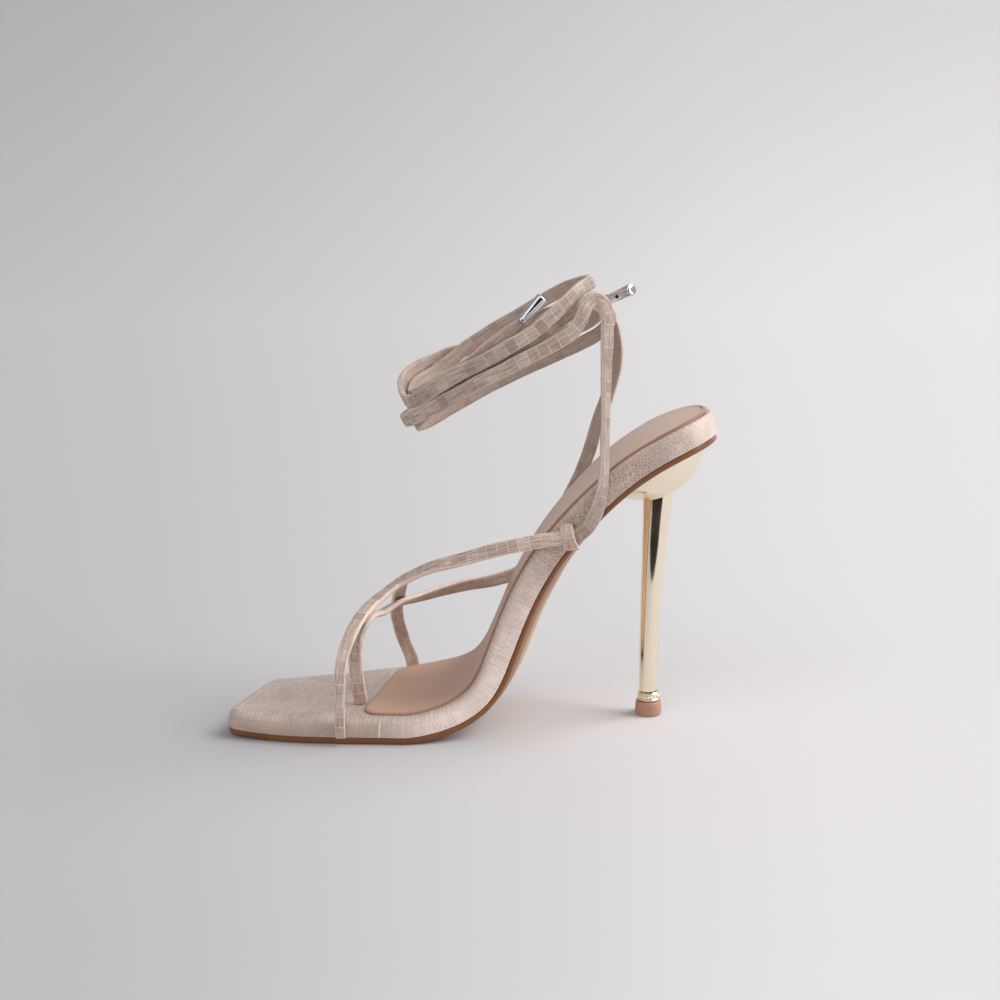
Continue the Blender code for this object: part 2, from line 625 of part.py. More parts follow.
def seat_cutter_rings():
    """Everything above the outsole's underside at the heel seat, one gap lower."""
    rings = []
    for k in range(CUTTER_STEPS + 1):
        s = CUTTER_FROM_S + (CUTTER_TO_S - CUTTER_FROM_S) * k / CUTTER_STEPS
        half = -OUTLINE[-1][1] - OUTSOLE_INSET
        ring = []
        for fraction in spread(TOP_POINTS):
            share = max(-1.0, min(1.0, fraction * CUTTER_HALF_WIDTH / half))
            ring.append(bend(s, fraction * CUTTER_HALF_WIDTH, -underside(s, share) - GAP))
        ring.append(bend(s, CUTTER_HALF_WIDTH, CUTTER_HEIGHT))
        ring.append(bend(s, -CUTTER_HALF_WIDTH, CUTTER_HEIGHT))
        rings.append(ring)
    return rings


def cup(name, collection, material):
    """Rounded cup of the heel before it is cut to the seat."""
    slope = float(np.interp(CUP_S, profile_s, profile_slope))
    turn = Matrix.Rotation(-slope, 4, "Y")
    size = Matrix.Diagonal((CUP_HALF_LENGTH * MM, CUP_HALF_WIDTH * MM, CUP_DEPTH * MM, 1.0))
    builder = bmesh.new()
    bmesh.ops.create_uvsphere(
        builder, u_segments=DOME_SEGMENTS, v_segments=DOME_RINGS, radius=1.0,
        matrix=Matrix.Translation(bend(CUP_S, 0.0, 0.0) * MM) @ turn @ size,
    )
    return finish_object(name, builder, collection, material)


clear_scene()
sandal = make_collection("tie_up_sandal")
cutters = make_collection("cutters")
materials = {name: make_material(name) for name in COLOURS}

# Sole unit
loft("outsole", outsole_rings(), sandal, materials["outsole_rubber"])
loft("footbed", footbed_rings(), sandal, materials["footbed_cover"])
loft("sock", sock_rings(), sandal, materials["sock_leather"])

# Heel: cup joined to its stem, then cut to the seat
heel = cup("heel", sandal, materials["gold_plate"])
stem = as_cutter(loft("heel_stem_operand", stem_rings(), cutters, materials["gold_plate"]))
seat = as_cutter(loft("seat_operand", seat_cutter_rings(), cutters, materials["gold_plate"]))
add_boolean(heel, stem, "UNION")
add_boolean(heel, seat, "DIFFERENCE")
turned("heel_ring", RING, HEEL_TIP_X, sandal, materials["gold_plate"])
turned("heel_top_piece", TOP_PIECE, HEEL_TIP_X, sandal, materials["top_piece_rubber"])

# Vamp straps joined where they cross
leather = materials["strap_leather"]
vamp = strap("vamp_straps", STRAP_MAIN, MAIN_WIDTHS, sandal, leather)
lateral = as_cutter(strap("lateral_strap_operand", STRAP_LATERAL, FULL_WIDTH, cutters, leather))
toe = as_cutter(strap("toe_strap_operand", STRAP_TOE, FULL_WIDTH, cutters, leather))
add_boolean(vamp, lateral, "UNION")
add_boolean(vamp, toe, "UNION")

# Keepers, ties and their metal ends
for keeper_name, place, direction, outward, half_height in KEEPERS:
    keeper(keeper_name, place, direction, outward, half_height, sandal, leather)
tie("tie_medial", RISER_MEDIAL, TURNS_MEDIAL, END_MEDIAL, sandal, leather)
tie("tie_lateral", RISER_LATERAL, TURNS_LATERAL, END_LATERAL, sandal, leather)
aglet("aglet_medial", END_MEDIAL, AGLET_DIRECTION_MEDIAL, sandal, materials["chrome"])
aglet("aglet_lateral", END_LATERAL, AGLET_DIRECTION_LATERAL, sandal, materials["chrome"])
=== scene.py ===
import math

import bmesh
import bpy
import numpy as np
from mathutils import Matrix, Vector


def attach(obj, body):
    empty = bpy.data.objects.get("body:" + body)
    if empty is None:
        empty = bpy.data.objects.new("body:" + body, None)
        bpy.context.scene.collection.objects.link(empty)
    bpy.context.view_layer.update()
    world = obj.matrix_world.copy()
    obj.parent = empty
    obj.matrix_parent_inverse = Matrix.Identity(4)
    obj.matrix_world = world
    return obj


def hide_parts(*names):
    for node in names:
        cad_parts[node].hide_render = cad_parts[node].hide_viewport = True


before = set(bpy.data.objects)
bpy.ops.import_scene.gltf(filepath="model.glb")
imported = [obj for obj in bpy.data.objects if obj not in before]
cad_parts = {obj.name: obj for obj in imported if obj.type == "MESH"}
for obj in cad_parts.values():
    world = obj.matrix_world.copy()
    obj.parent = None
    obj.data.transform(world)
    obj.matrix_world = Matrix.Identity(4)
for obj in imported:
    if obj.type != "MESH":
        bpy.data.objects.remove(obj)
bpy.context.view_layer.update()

# Studio: a seamless sweep of pale grey paper under broad soft light from the right and above.
# The paper is painted darker towards the left, as painted shade for the light's fall-off. The camera faces the
# medial side and looks down 11.5 degrees.
CAMERA_PLACE = (0.0593, -0.5948, 0.2116)
CAMERA_PITCH = 78.5
CAMERA_LENS = 54.0
CAMERA_SENSOR = 36.0
CAMERA_NEAR = 0.01
SWEEP_HALF_WIDTH = 5.0
SWEEP_FRONT = -2.2
SWEEP_BACK = 2.5
SWEEP_RADIUS = 2.0
SWEEP_TOP = 3.5
SWEEP_ARC_STEPS = 24
# Painted shade of the paper, darker to the left where less light falls: sideways over depth from the camera's
# place, tone
SWEEP_PAINTED_FALLOFF = ((-0.32, 0.455), (-0.2, 0.50), (-0.067, 0.562), (0.04, 0.613), (0.147, 0.666), (0.32, 0.72))
SWEEP_TINT = (1.0, 0.98, 1.01)
# Brightness of the air at the far left and the far right, and its strength
AIR_TONES = (0.40, 0.62)
AIR_STRENGTH = 0.75


def paint(red, green, blue):
    """Linear colour of a finish that is known by its 8-bit screen values."""
    shares = [value / 255.0 for value in (red, green, blue)]
    linear = [c / 12.92 if c <= 0.04045 else ((c + 0.055) / 1.055) ** 2.4 for c in shares]
    return (*linear, 1.0)


def fill(tree, node, inputs):
    """Fill a node's inputs with values or links."""
    for key, value in inputs.items():
        if isinstance(value, bpy.types.NodeSocket):
            tree.links.new(value, node.inputs[key])
        else:
            node.inputs[key].default_value = value


def add(tree, kind, inputs=None, **settings):
    """Add a node, set its properties and fill its inputs."""
    made = tree.nodes.new(kind)
    for key, value in settings.items():
        setattr(made, key, value)
    fill(tree, made, inputs or {})
    return made


def maths(tree, operation, *values):
    """Result of a Math node on values or links."""
    return add(tree, "ShaderNodeMath", dict(enumerate(values)), operation=operation).outputs[0]


def map_range(tree, value, from_min, from_max, to_min, to_max):
    sockets = {"Value": value, "From Min": from_min, "From Max": from_max, "To Min": to_min, "To Max": to_max}
    return add(tree, "ShaderNodeMapRange", sockets).outputs["Result"]


def split(tree, vector):
    """The parts of a vector, by the names X, Y and Z."""
    return add(tree, "ShaderNodeSeparateXYZ", {0: vector}).outputs


def new_material(name, roughness=0.5, metallic=0.0):
    material = bpy.data.materials.new(name)
    material.use_nodes = True
    shader = material.node_tree.nodes["Principled BSDF"]
    shader.inputs["Roughness"].default_value = roughness
    shader.inputs["Metallic"].default_value = metallic
    return material, material.node_tree, shader


def link_object(name, data):
    made = bpy.data.objects.new(name, data)
    bpy.context.scene.collection.objects.link(made)
    return made


def mesh_from(builder, name):
    mesh = bpy.data.meshes.new(name)
    builder.to_mesh(mesh)
    builder.free()
    return mesh


camera_data = bpy.data.cameras.new("photo_camera")
camera_data.lens = CAMERA_LENS
camera_data.sensor_width = CAMERA_SENSOR
camera_data.clip_start = CAMERA_NEAR
camera = link_object("photo_camera", camera_data)
camera.location = CAMERA_PLACE
camera.rotation_euler = (math.radians(CAMERA_PITCH), 0.0, 0.0)
bpy.context.scene.camera = camera
bpy.context.scene.view_settings.view_transform = "Standard"

sweep_line = [(SWEEP_FRONT, 0.0)]
for step in range(SWEEP_ARC_STEPS + 1):
    turn = 0.5 * math.pi * step / SWEEP_ARC_STEPS
    sweep_line.append((SWEEP_BACK + SWEEP_RADIUS * math.sin(turn), SWEEP_RADIUS * (1.0 - math.cos(turn))))
sweep_line.append((SWEEP_BACK + SWEEP_RADIUS, SWEEP_TOP))
builder = bmesh.new()
left_side = [builder.verts.new((-SWEEP_HALF_WIDTH, y, z)) for y, z in sweep_line]
right_side = [builder.verts.new((SWEEP_HALF_WIDTH, y, z)) for y, z in sweep_line]
for index in range(len(sweep_line) - 1):
    corners = (left_side[index], right_side[index], right_side[index + 1], left_side[index + 1])
    builder.faces.new(corners).smooth = True
sweep_mesh = mesh_from(builder, "paper_sweep")
sweep = link_object("paper_sweep", sweep_mesh)
paper, tree, shader = new_material("sweep_paper", roughness=0.85)
# Painted shade: the paper's own colour is graded darker to the left, standing for the fall-off of light.
sides = split(tree, add(tree, "ShaderNodeTexCoord").outputs["Object"])
sideways = maths(tree, "SUBTRACT", sides["X"], CAMERA_PLACE[0])
depth = maths(tree, "SUBTRACT", sides["Y"], CAMERA_PLACE[1])
slant = maths(tree, "DIVIDE", sideways, depth)
first_slant = SWEEP_PAINTED_FALLOFF[0][0]
whole_slant = SWEEP_PAINTED_FALLOFF[-1][0] - first_slant
share = map_range(tree, slant, first_slant, first_slant + whole_slant, 0.0, 1.0)
painted_falloff_ramp = add(tree, "ShaderNodeValToRGB", {0: share})
painted_falloff_ramp.color_ramp.interpolation = "B_SPLINE"
while len(painted_falloff_ramp.color_ramp.elements) < len(SWEEP_PAINTED_FALLOFF):
    painted_falloff_ramp.color_ramp.elements.new(0.5)
for stop, (slope, tone) in zip(painted_falloff_ramp.color_ramp.elements, SWEEP_PAINTED_FALLOFF):
    stop.position = (slope - first_slant) / whole_slant
    stop.color = (*[tint * tone for tint in SWEEP_TINT], 1.0)
fill(tree, shader, {"Base Color": painted_falloff_ramp.outputs["Color"]})
sweep_mesh.materials.append(paper)

# Name, direction to the light, apparent width in degrees, power, colour
SOFT_LIGHTS = (
    ("right_light", (0.80, 0.10, 0.85), 42.0, 2.5, (1.0, 0.985, 0.97)),
    ("front_light", (-0.60, -0.80, 0.45), 70.0, 0.9, (1.0, 0.98, 0.97)),
    ("low_light", (0.95, -0.30, 0.25), 30.0, 0.7, (1.0, 0.99, 0.98)),
)
for name, heading, width, power, colour in SOFT_LIGHTS:
    lamp = bpy.data.lights.new(name, "SUN")
    lamp.angle = math.radians(width)
    lamp.energy = power
    lamp.color = colour
    light = link_object(name, lamp)
    light.rotation_euler = Vector(heading).to_track_quat("Z", "Y").to_euler()

# Dark cards beside the camera: low corner, high corner. Only the polished metal shows them.
CARDS = (((-0.083, -0.19, 0.0), (0.24, -0.19, 0.05)), ((-0.1, -0.25, 0.115), (0.25, -0.25, 0.30)))
card_black, tree, shader = new_material("card_black", roughness=0.9)
shader.inputs["Base Color"].default_value = (0.01, 0.009, 0.008, 1.0)
for low, high in CARDS:
    card_mesh = bpy.data.meshes.new("dark_card")
    card_corners = [low, (high[0], low[1], low[2]), high, (low[0], low[1], high[2])]
    card_mesh.from_pydata(card_corners, [], [(0, 3, 2, 1)])
    card_mesh.materials.append(card_black)
    card = link_object("dark_card", card_mesh)
    card.visible_camera = False
    card.visible_diffuse = False
    card.visible_shadow = False

world = bpy.data.worlds.new("studio_air")
bpy.context.scene.world = world
world.use_nodes = True
tree = world.node_tree
background = tree.nodes["Background"]
heading = add(tree, "ShaderNodeTexCoord").outputs["Generated"]
across = map_range(tree, split(tree, heading)["X"], -1.0, 1.0, *AIR_TONES)
air = add(tree, "ShaderNodeCombineColor", {0: across, 1: across, 2: across})
fill(tree, background, {"Color": air.outputs["Color"], "Strength": AIR_STRENGTH})

# Outsole: one moulded sheet of tan rubber under the whole sole, with a dark polished edge.
# It is flat under the forefoot, bends up the waist with a full crown and is cemented to the footbed.
MM = 0.001
TREAD_SHIFT = 16.0
TO_FRAME = Vector((TREAD_SHIFT, 0.0, 0.0))
PROFILE_STEP = 0.25
OUTSOLE_T = 3.2
OUTSOLE_INSET = 0.8
GAP = 0.35
TOE_CORNER_R = 6.0
CORNER_CLEAR = 0.6
HEEL_CURVE_START = 162.0
HEEL_CURVE_LENGTH = 23.8
HEEL_CURVE_POWER = 2.3
HEEL_CURVE_SHARE = 0.9985
HEEL_TRIM_START = 90.0
HEEL_TRIM_END = 150.0
ROW_STEPS = 9
TOE_STEPS = 9
HEEL_STEPS = 26

# Distance along the sole from the ball, slope in degrees
SOLE_SLOPE = np.array((
    (-68.0, -6.0), (-50.0, -1.5), (-36.0, 0.0), (4.0, 0.0), (12.0, 8.0), (20.0, 13.5), (26.0, 19.0),
    (36.0, 35.0), (46.0, 58.0), (56.0, 69.0), (72.0, 69.0), (84.0, 65.0), (96.0, 59.5), (108.0, 53.0),
    (120.0, 48.5), (136.0, 43.5), (148.0, 37.0), (160.0, 30.0), (170.0, 25.5), (180.0, 20.5), (190.0, 15.5),
))
# Medial distance and half width, lateral distance and half width, medial and lateral wall height
OUTLINE = (
    (-67.0, -28.3, -55.0, 13.5, 7.2, 7.2),
    (-56.0, -31.8, -44.0, 17.2, 7.4, 7.4),
    (-40.0, -35.3, -27.0, 22.0, 7.5, 7.5),
    (-22.0, -37.0, -8.0, 28.6, 7.5, 7.5),
    (-5.0, -37.6, 9.0, 34.4, 7.5, 7.5),
    (8.0, -38.0, 20.0, 35.8, 7.6, 7.4),
    (20.0, -36.0, 29.0, 34.0, 8.0, 7.4),
    (34.0, -32.3, 40.0, 30.3, 8.8, 7.3),
    (50.0, -28.8, 54.0, 27.0, 9.5, 6.6),
    (70.0, -26.3, 72.0, 25.0, 9.8, 6.2),
    (95.0, -25.0, 95.0, 24.3, 9.8, 6.4),
    (120.0, -24.8, 120.0, 24.3, 9.6, 7.2),
    (145.0, -24.6, 145.0, 24.3, 9.4, 8.4),
    (162.0, -24.0, 162.0, 23.8, 9.2, 9.0),
)
# Distance along the sole, outsole thickness at the edge and at the middle, dish of the footbed top
OUTSOLE = np.array((
    (-68.0, 2.8, 2.8, 0.0), (-40.0, 3.2, 3.2, 0.0), (6.0, 3.2, 3.2, 0.0), (20.0, 3.0, 3.6, 0.2),
    (45.0, 2.3, 6.4, 0.6), (60.0, 2.2, 7.6, 0.8), (95.0, 2.2, 7.4, 0.8), (115.0, 2.2, 6.2, 0.8),
    (140.0, 2.4, 4.2, 1.0), (155.0, 2.6, 3.0, 1.1), (190.0, 2.6, 3.0, 0.8),
))

profile_s = np.arange(SOLE_SLOPE[0, 0], SOLE_SLOPE[-1, 0] + PROFILE_STEP, PROFILE_STEP)
profile_slope = np.radians(np.interp(profile_s, SOLE_SLOPE[:, 0], SOLE_SLOPE[:, 1]))
middle_slope = 0.5 * (profile_slope[1:] + profile_slope[:-1])
profile_x = np.concatenate(([0.0], np.cumsum(np.cos(middle_slope)))) * PROFILE_STEP
profile_z = np.concatenate(([0.0], np.cumsum(np.sin(middle_slope)))) * PROFILE_STEP
profile_x -= np.interp(0.0, profile_s, profile_x)
profile_z += OUTSOLE_T - np.interp(0.0, profile_s, profile_z)


def bend(s, y, h):
    """Place a point of the flattened sole: s along it, y across, h above the footbed's underside."""
    slope = float(np.interp(s, profile_s, profile_slope))
    x = float(np.interp(s, profile_s, profile_x)) - math.sin(slope) * h
    z = float(np.interp(s, profile_s, profile_z)) + math.cos(slope) * h
    return Vector((x, y, z))


def spline(table, steps):
    """Smooth curve through table rows, spaced by chord length of the first three columns."""
    rows = np.array(table, dtype=float)
    chord = np.linalg.norm(np.diff(rows[:, :3], axis=0), axis=1)
    rates = np.diff(rows, axis=0) / chord[:, None]
    tangents = np.empty_like(rows)
    tangents[0] = rates[0]
    tangents[-1] = rates[-1]
    weight = chord[:-1] + chord[1:]
    tangents[1:-1] = (rates[:-1] * chord[1:, None] + rates[1:] * chord[:-1, None]) / weight[:, None]
    points = []
    for index, length in enumerate(chord):
        for step in range(steps):
            t = step / steps
            a = rows[index] * (2 * t ** 3 - 3 * t ** 2 + 1) + rows[index + 1] * (3 * t ** 2 - 2 * t ** 3)
            b = tangents[index] * (t ** 3 - 2 * t ** 2 + t) + tangents[index + 1] * (t ** 3 - t ** 2)
            points.append(a + b * length)
    points.append(rows[-1])
    return np.array(points)


def quarter(distance, radius):
    """How far a rounded corner still stands in at a distance from its end."""
    left = max(radius - distance, 0.0)
    return radius - math.sqrt(radius ** 2 - left ** 2)


def heel_trim(s, waist, heel):
    """Size that changes evenly from the waist to the heel."""
    return float(np.interp(s, (HEEL_TRIM_START, HEEL_TRIM_END), (waist, heel)))


def sole_stations(front_row, inset, heel_inset, corner_r):
    """Cross lines of the sole from toe to heel: the row, the distance to the nearest end, the inset."""
    fine = spline(OUTLINE, ROW_STEPS)
    position = np.linspace(0.0, len(OUTLINE) - 1, len(fine))
    front = np.array([np.interp(front_row, position, column) for column in fine.T])
    second = np.array([np.interp(front_row + 0.5, position, column) for column in fine.T])
    length = second[0] - front[0]
    stations = []
    for k in range(TOE_STEPS + 1):
        distance = corner_r * (1.0 - math.cos(0.5 * math.pi * k / TOE_STEPS))
        row = front + (second - front) * (distance / length)
        stations.append((row, distance, quarter(distance, corner_r) + inset))
    for row in fine:
        if row[0] > front[0] + corner_r + CORNER_CLEAR:
            stations.append((row, corner_r, heel_trim(row[0], inset, heel_inset)))
    last = fine[-1]
    reach = HEEL_CURVE_LENGTH - heel_inset
    for k in range(1, HEEL_STEPS + 1):
        ratio = math.sin(0.5 * math.pi * k / HEEL_STEPS) * HEEL_CURVE_SHARE
        row = last.copy()
        row[[0, 2]] = HEEL_CURVE_START + reach * ratio
        narrow = (1.0 - ratio ** HEEL_CURVE_POWER) ** (1.0 / HEEL_CURVE_POWER)
        row[[1, 3]] = (last[[1, 3]] - np.sign(last[[1, 3]]) * heel_inset) * narrow
        stations.append((row, reach * (1.0 - ratio), 0.0))
    return stations


def along(row, fraction):
    """Point on a cross line: fraction -1 is the medial end, +1 the lateral end."""
    t = 0.5 + 0.5 * fraction
    return row[0] + (row[2] - row[0]) * t, row[1] + (row[3] - row[1]) * t


def reach_of(row, inset):
    """Fraction of a cross line's half width left inside an inset."""
    return 1.0 - 2.0 * inset / (row[3] - row[1])


def spread(count):
    return np.linspace(-1.0, 1.0, count)


def shell(name, rings, runs, marks):
    """Loft closed rings into a capped skin. Each point keeps its run, its girth and its marks."""
    builder = bmesh.new()
    skin = builder.verts.layers.float_vector.new("skin")
    layers = {key: builder.verts.layers.float.new(key) for key in marks}
    rows = []
    for i, ring in enumerate(rings):
        girth = np.concatenate(([0.0], np.cumsum([(b - a).length for a, b in zip(ring, ring[1:])])))
        girth -= 0.5 * girth[-1]
        row = []
        for j, point in enumerate(ring):
            vert = builder.verts.new((point + TO_FRAME) * MM)
            vert[skin] = (runs[i], girth[j], 0.0)
            for key, layer in layers.items():
                vert[layer] = marks[key][i][j]
            row.append(vert)
        rows.append(row)
    count = len(rows[0])
    for row, following in zip(rows, rows[1:]):
        for j in range(count):
            after = (j + 1) % count
            builder.faces.new((row[j], row[after], following[after], following[j]))
    caps = [builder.faces.new(rows[0]), builder.faces.new(rows[-1])]
    bmesh.ops.triangulate(builder, faces=caps)
    bmesh.ops.recalc_face_normals(builder, faces=builder.faces[:])
    return mesh_from(builder, name)


def smooth(mesh, angle):
    mesh.shade_smooth()
    mesh.set_sharp_from_angle(angle=math.radians(angle))


def settle(piece, slot, *nodes):
    """Fix a finished piece to the shoe in place of its plain solids."""
    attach(piece, "root")
    if nodes:
        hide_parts(*nodes)
    return piece


def run_lengths(stations):
    """Mean length along both sides of the sole at each cross line, round the edge behind the ball."""
    ends = []
    for row, distance, inset in stations:
        outer = reach_of(row, inset)
        ends.append([*along(row, -outer), *along(row, outer)])
    ends = np.array(ends)
    steps = np.diff(ends, axis=0)
    straight = 0.5 * (steps[:, 0] + steps[:, 2])
    round_edge = 0.5 * (np.linalg.norm(steps[:, :2], axis=1) + np.linalg.norm(steps[:, 2:], axis=1))
    lengths = np.where(ends[1:, 0] < 0.0, straight, round_edge)
    return np.concatenate(([0.0], np.cumsum(lengths)))


OUTSOLE_ROUND = 0.55
EDGE_LEVELS = (0.35, 0.7)
LEAST_EDGE = 0.05
EDGE_STAIN = 8.0
END_STAIN = 2.0
BOND_POINTS = 10
UNDER_POINTS = 29


def underside(s, fraction):
    """Depth of the outsole's crowned underside, from 0 in the middle to 1 at the edge."""
    edge = np.interp(s, OUTSOLE[:, 0], OUTSOLE[:, 1])
    crown = np.interp(s, OUTSOLE[:, 0], OUTSOLE[:, 2])
    return edge + (crown - edge) * (1.0 - fraction ** 2)


def lay(ring, marks, row, fractions, height_at):
    """Add fully marked points along a cross line, each at its height."""
    for fraction in fractions:
        s, y = along(row, fraction)
        ring.append(bend(s, y, height_at(fraction)))
        marks.append(1.0)


outsole_rings = []
outsole_edge = []
lateral_bond = np.array((-0.02, *np.linspace(0.1, 1.0, BOND_POINTS)))
medial_bond = np.linspace(-1.0, -0.1, BOND_POINTS)
stations = sole_stations(0.0, OUTSOLE_INSET, OUTSOLE_INSET, TOE_CORNER_R)
for row, distance, inset in stations:
    outer = reach_of(row, inset)
    round_share = reach_of(row, inset + OUTSOLE_ROUND)
    ring = []
    edge_marks = []
    lay(ring, edge_marks, row, outer * lateral_bond, lambda fraction: -GAP)
    for side in (1.0, -1.0):
        if side < 0.0:
            for fraction in np.sin(0.5 * math.pi * spread(UNDER_POINTS)[::-1]):
                s, y = along(row, round_share * fraction)
                from_edge = 0.5 * round_share * (row[3] - row[1]) * (1.0 - abs(fraction))
                ring.append(bend(s, y, -underside(s, fraction)))
                stain = max(2.0 - 2.0 * from_edge / EDGE_STAIN, 1.0 - distance / END_STAIN)
                edge_marks.append(min(1.0, max(0.0, stain)))
        s, y = along(row, side * outer)
        levels = (*EDGE_LEVELS, underside(s, 1.0) - OUTSOLE_ROUND)
        for level in levels if side > 0.0 else reversed(levels):
            ring.append(bend(s, y, -max(level, GAP + LEAST_EDGE)))
            edge_marks.append(1.0)
    lay(ring, edge_marks, row, outer * medial_bond, lambda fraction: -GAP)
    outsole_rings.append(ring)
    outsole_edge.append(edge_marks)
outsole_mesh = shell("outsole_sheet", outsole_rings, run_lengths(stations), {"edge": outsole_edge})
smooth(outsole_mesh, 50.0)


def new_group(name, kind, inputs, outputs):
    """Start a node group with named sockets: the group, the sockets that come in, the node that goes out."""
    group = bpy.data.node_groups.new(name, kind)
    for in_out, sockets in (("INPUT", inputs), ("OUTPUT", outputs)):
        for socket, socket_kind in sockets.items():
            group.interface.new_socket(socket, in_out=in_out, socket_type="NodeSocket" + socket_kind)
    return group, group.nodes.new("NodeGroupInput").outputs, group.nodes.new("NodeGroupOutput")


def grain_group():
    """Fine pores and slow clouds of tone, for the sole's leathers, the rubbers and the plating."""
    group, enter, leave = new_group("pore_grain", "ShaderNodeTree",
                                    {"Vector": "Vector", "Pores per Metre": "Float"},
                                    {"Pore": "Float", "Cloud": "Float"})
    pores = enter["Pores per Metre"]
    pore = add(group, "ShaderNodeTexNoise", {"Vector": enter["Vector"], "Scale": pores, "Detail": 3.0})
    slow = maths(group, "MULTIPLY", pores, 0.05)
    cloud = add(group, "ShaderNodeTexNoise", {"Vector": enter["Vector"], "Scale": slow, "Detail": 2.0})
    fill(group, leave, {"Pore": pore.outputs["Fac"], "Cloud": cloud.outputs["Fac"]})
    return group


pore_grain = grain_group()


def grain(tree, pores):
    place = add(tree, "ShaderNodeTexCoord").outputs["Object"]
    sockets = {"Vector": place, "Pores per Metre": pores}
    return add(tree, "ShaderNodeGroup", sockets, node_tree=pore_grain).outputs


def attribute(tree, name, output="Fac"):
    return add(tree, "ShaderNodeAttribute", attribute_name=name).outputs[output]


def blend_colours(tree, factor, first, second):
    return add(tree, "ShaderNodeMix", {0: factor, 6: first, 7: second}, data_type="RGBA").outputs[2]


def bump(tree, height, distance, strength):
    sockets = {"Height": height, "Distance": distance, "Strength": strength}
    return add(tree, "ShaderNodeBump", sockets).outputs[0]


RUBBER_PORES = 1800.0
RUBBER_TAN = (paint(196, 158, 122), paint(220, 186, 152))
EDGE_BROWN = (paint(112, 66, 32), paint(142, 92, 52))
FACE_DULL = 0.52
EDGE_DULL = 0.28
rubber, tree, shader = new_material("outsole_rubber_finish")
speckle = grain(tree, RUBBER_PORES)
edge = attribute(tree, "edge")
under = blend_colours(tree, speckle["Cloud"], *RUBBER_TAN)
polish = blend_colours(tree, speckle["Cloud"], *EDGE_BROWN)
fill(tree, shader, {"Base Color": blend_colours(tree, edge, under, polish),
                    "Roughness": map_range(tree, edge, 0.0, 1.0, FACE_DULL, EDGE_DULL),
                    "Normal": bump(tree, speckle["Pore"], 0.0002, 0.35)})
outsole_mesh.materials.append(rubber)
settle(link_object("outsole_sheet", outsole_mesh), "outsole_rubber", "outsole")

# Footbed: a moulded insole board and platform, wrapped round its edge in nude embossed leather.
# Cross rows of scales cover its top. Its wall has a small net of cells at toe and heel and ribs at the waist.
EDGE_ROUND = 3.4
HEEL_EDGE_ROUND = 1.5
EDGE_ROUND_STEPS = 8
WALL_STEPS = 6
WALL_BULGE = 0.35
BULGE_LOW = 0.12
BULGE_FROM_TOE = 4.0
LEAST_WALL = 0.4
# Turn over the rounded edge at which the wall's pattern has given way to the top's
WALL_TURN = math.radians(62.0)
BOARD_POINTS = 5
BOARD_SHARE = 0.85
TOP_POINTS = 31
# The wrap's one seam, on the medial wall: distance along the sole, girth from which it shows
WRAP_SEAM_S = -3.9
WRAP_SEAM_GIRTH = 20.0
# Soft folds of the wrap: side, distance along the sole, half length of the fold, depth
WRAP_FOLDS = (
    (-1, -14.0, 1.6, 0.30), (-1, -24.5, 2.0, 0.22), (-1, 17.0, 2.4, 0.28), (-1, 23.5, 2.2, 0.32),
    (-1, 30.5, 2.6, 0.26), (-1, 39.0, 2.4, 0.20), (1, 10.0, 2.2, 0.26), (1, 16.0, 2.4, 0.30),
    (1, 26.0, 2.2, 0.28), (1, 35.0, 2.6, 0.24), (-1, 157.0, 4.0, 0.18), (1, 155.0, 4.0, 0.18),
)
# Distance along the sole, then how far the wall carries a net of cells instead of cross ribs
NET_SHARE = np.array(((-70.0, 1.0), (2.0, 1.0), (16.0, 0.15), (78.0, 0.0), (104.0, 1.0), (200.0, 1.0)))


def top_height(row, fraction):
    """Height of the footbed's top on a cross line, dished towards the middle."""
    t = 0.5 + 0.5 * fraction
    s = row[0] + (row[2] - row[0]) * t
    dish = float(np.interp(s, OUTSOLE[:, 0], OUTSOLE[:, 3]))
    return row[4] + (row[5] - row[4]) * t - dish * (1.0 - fraction ** 2)


def fold_depth(side, s):
    """How far the soft folds draw the wrap's wall in at a place."""
    depth = 0.0
    for fold_side, centre, half, deep in WRAP_FOLDS:
        if fold_side == side:
            depth += deep * math.exp(-((s - centre) / half) ** 2)
    return depth


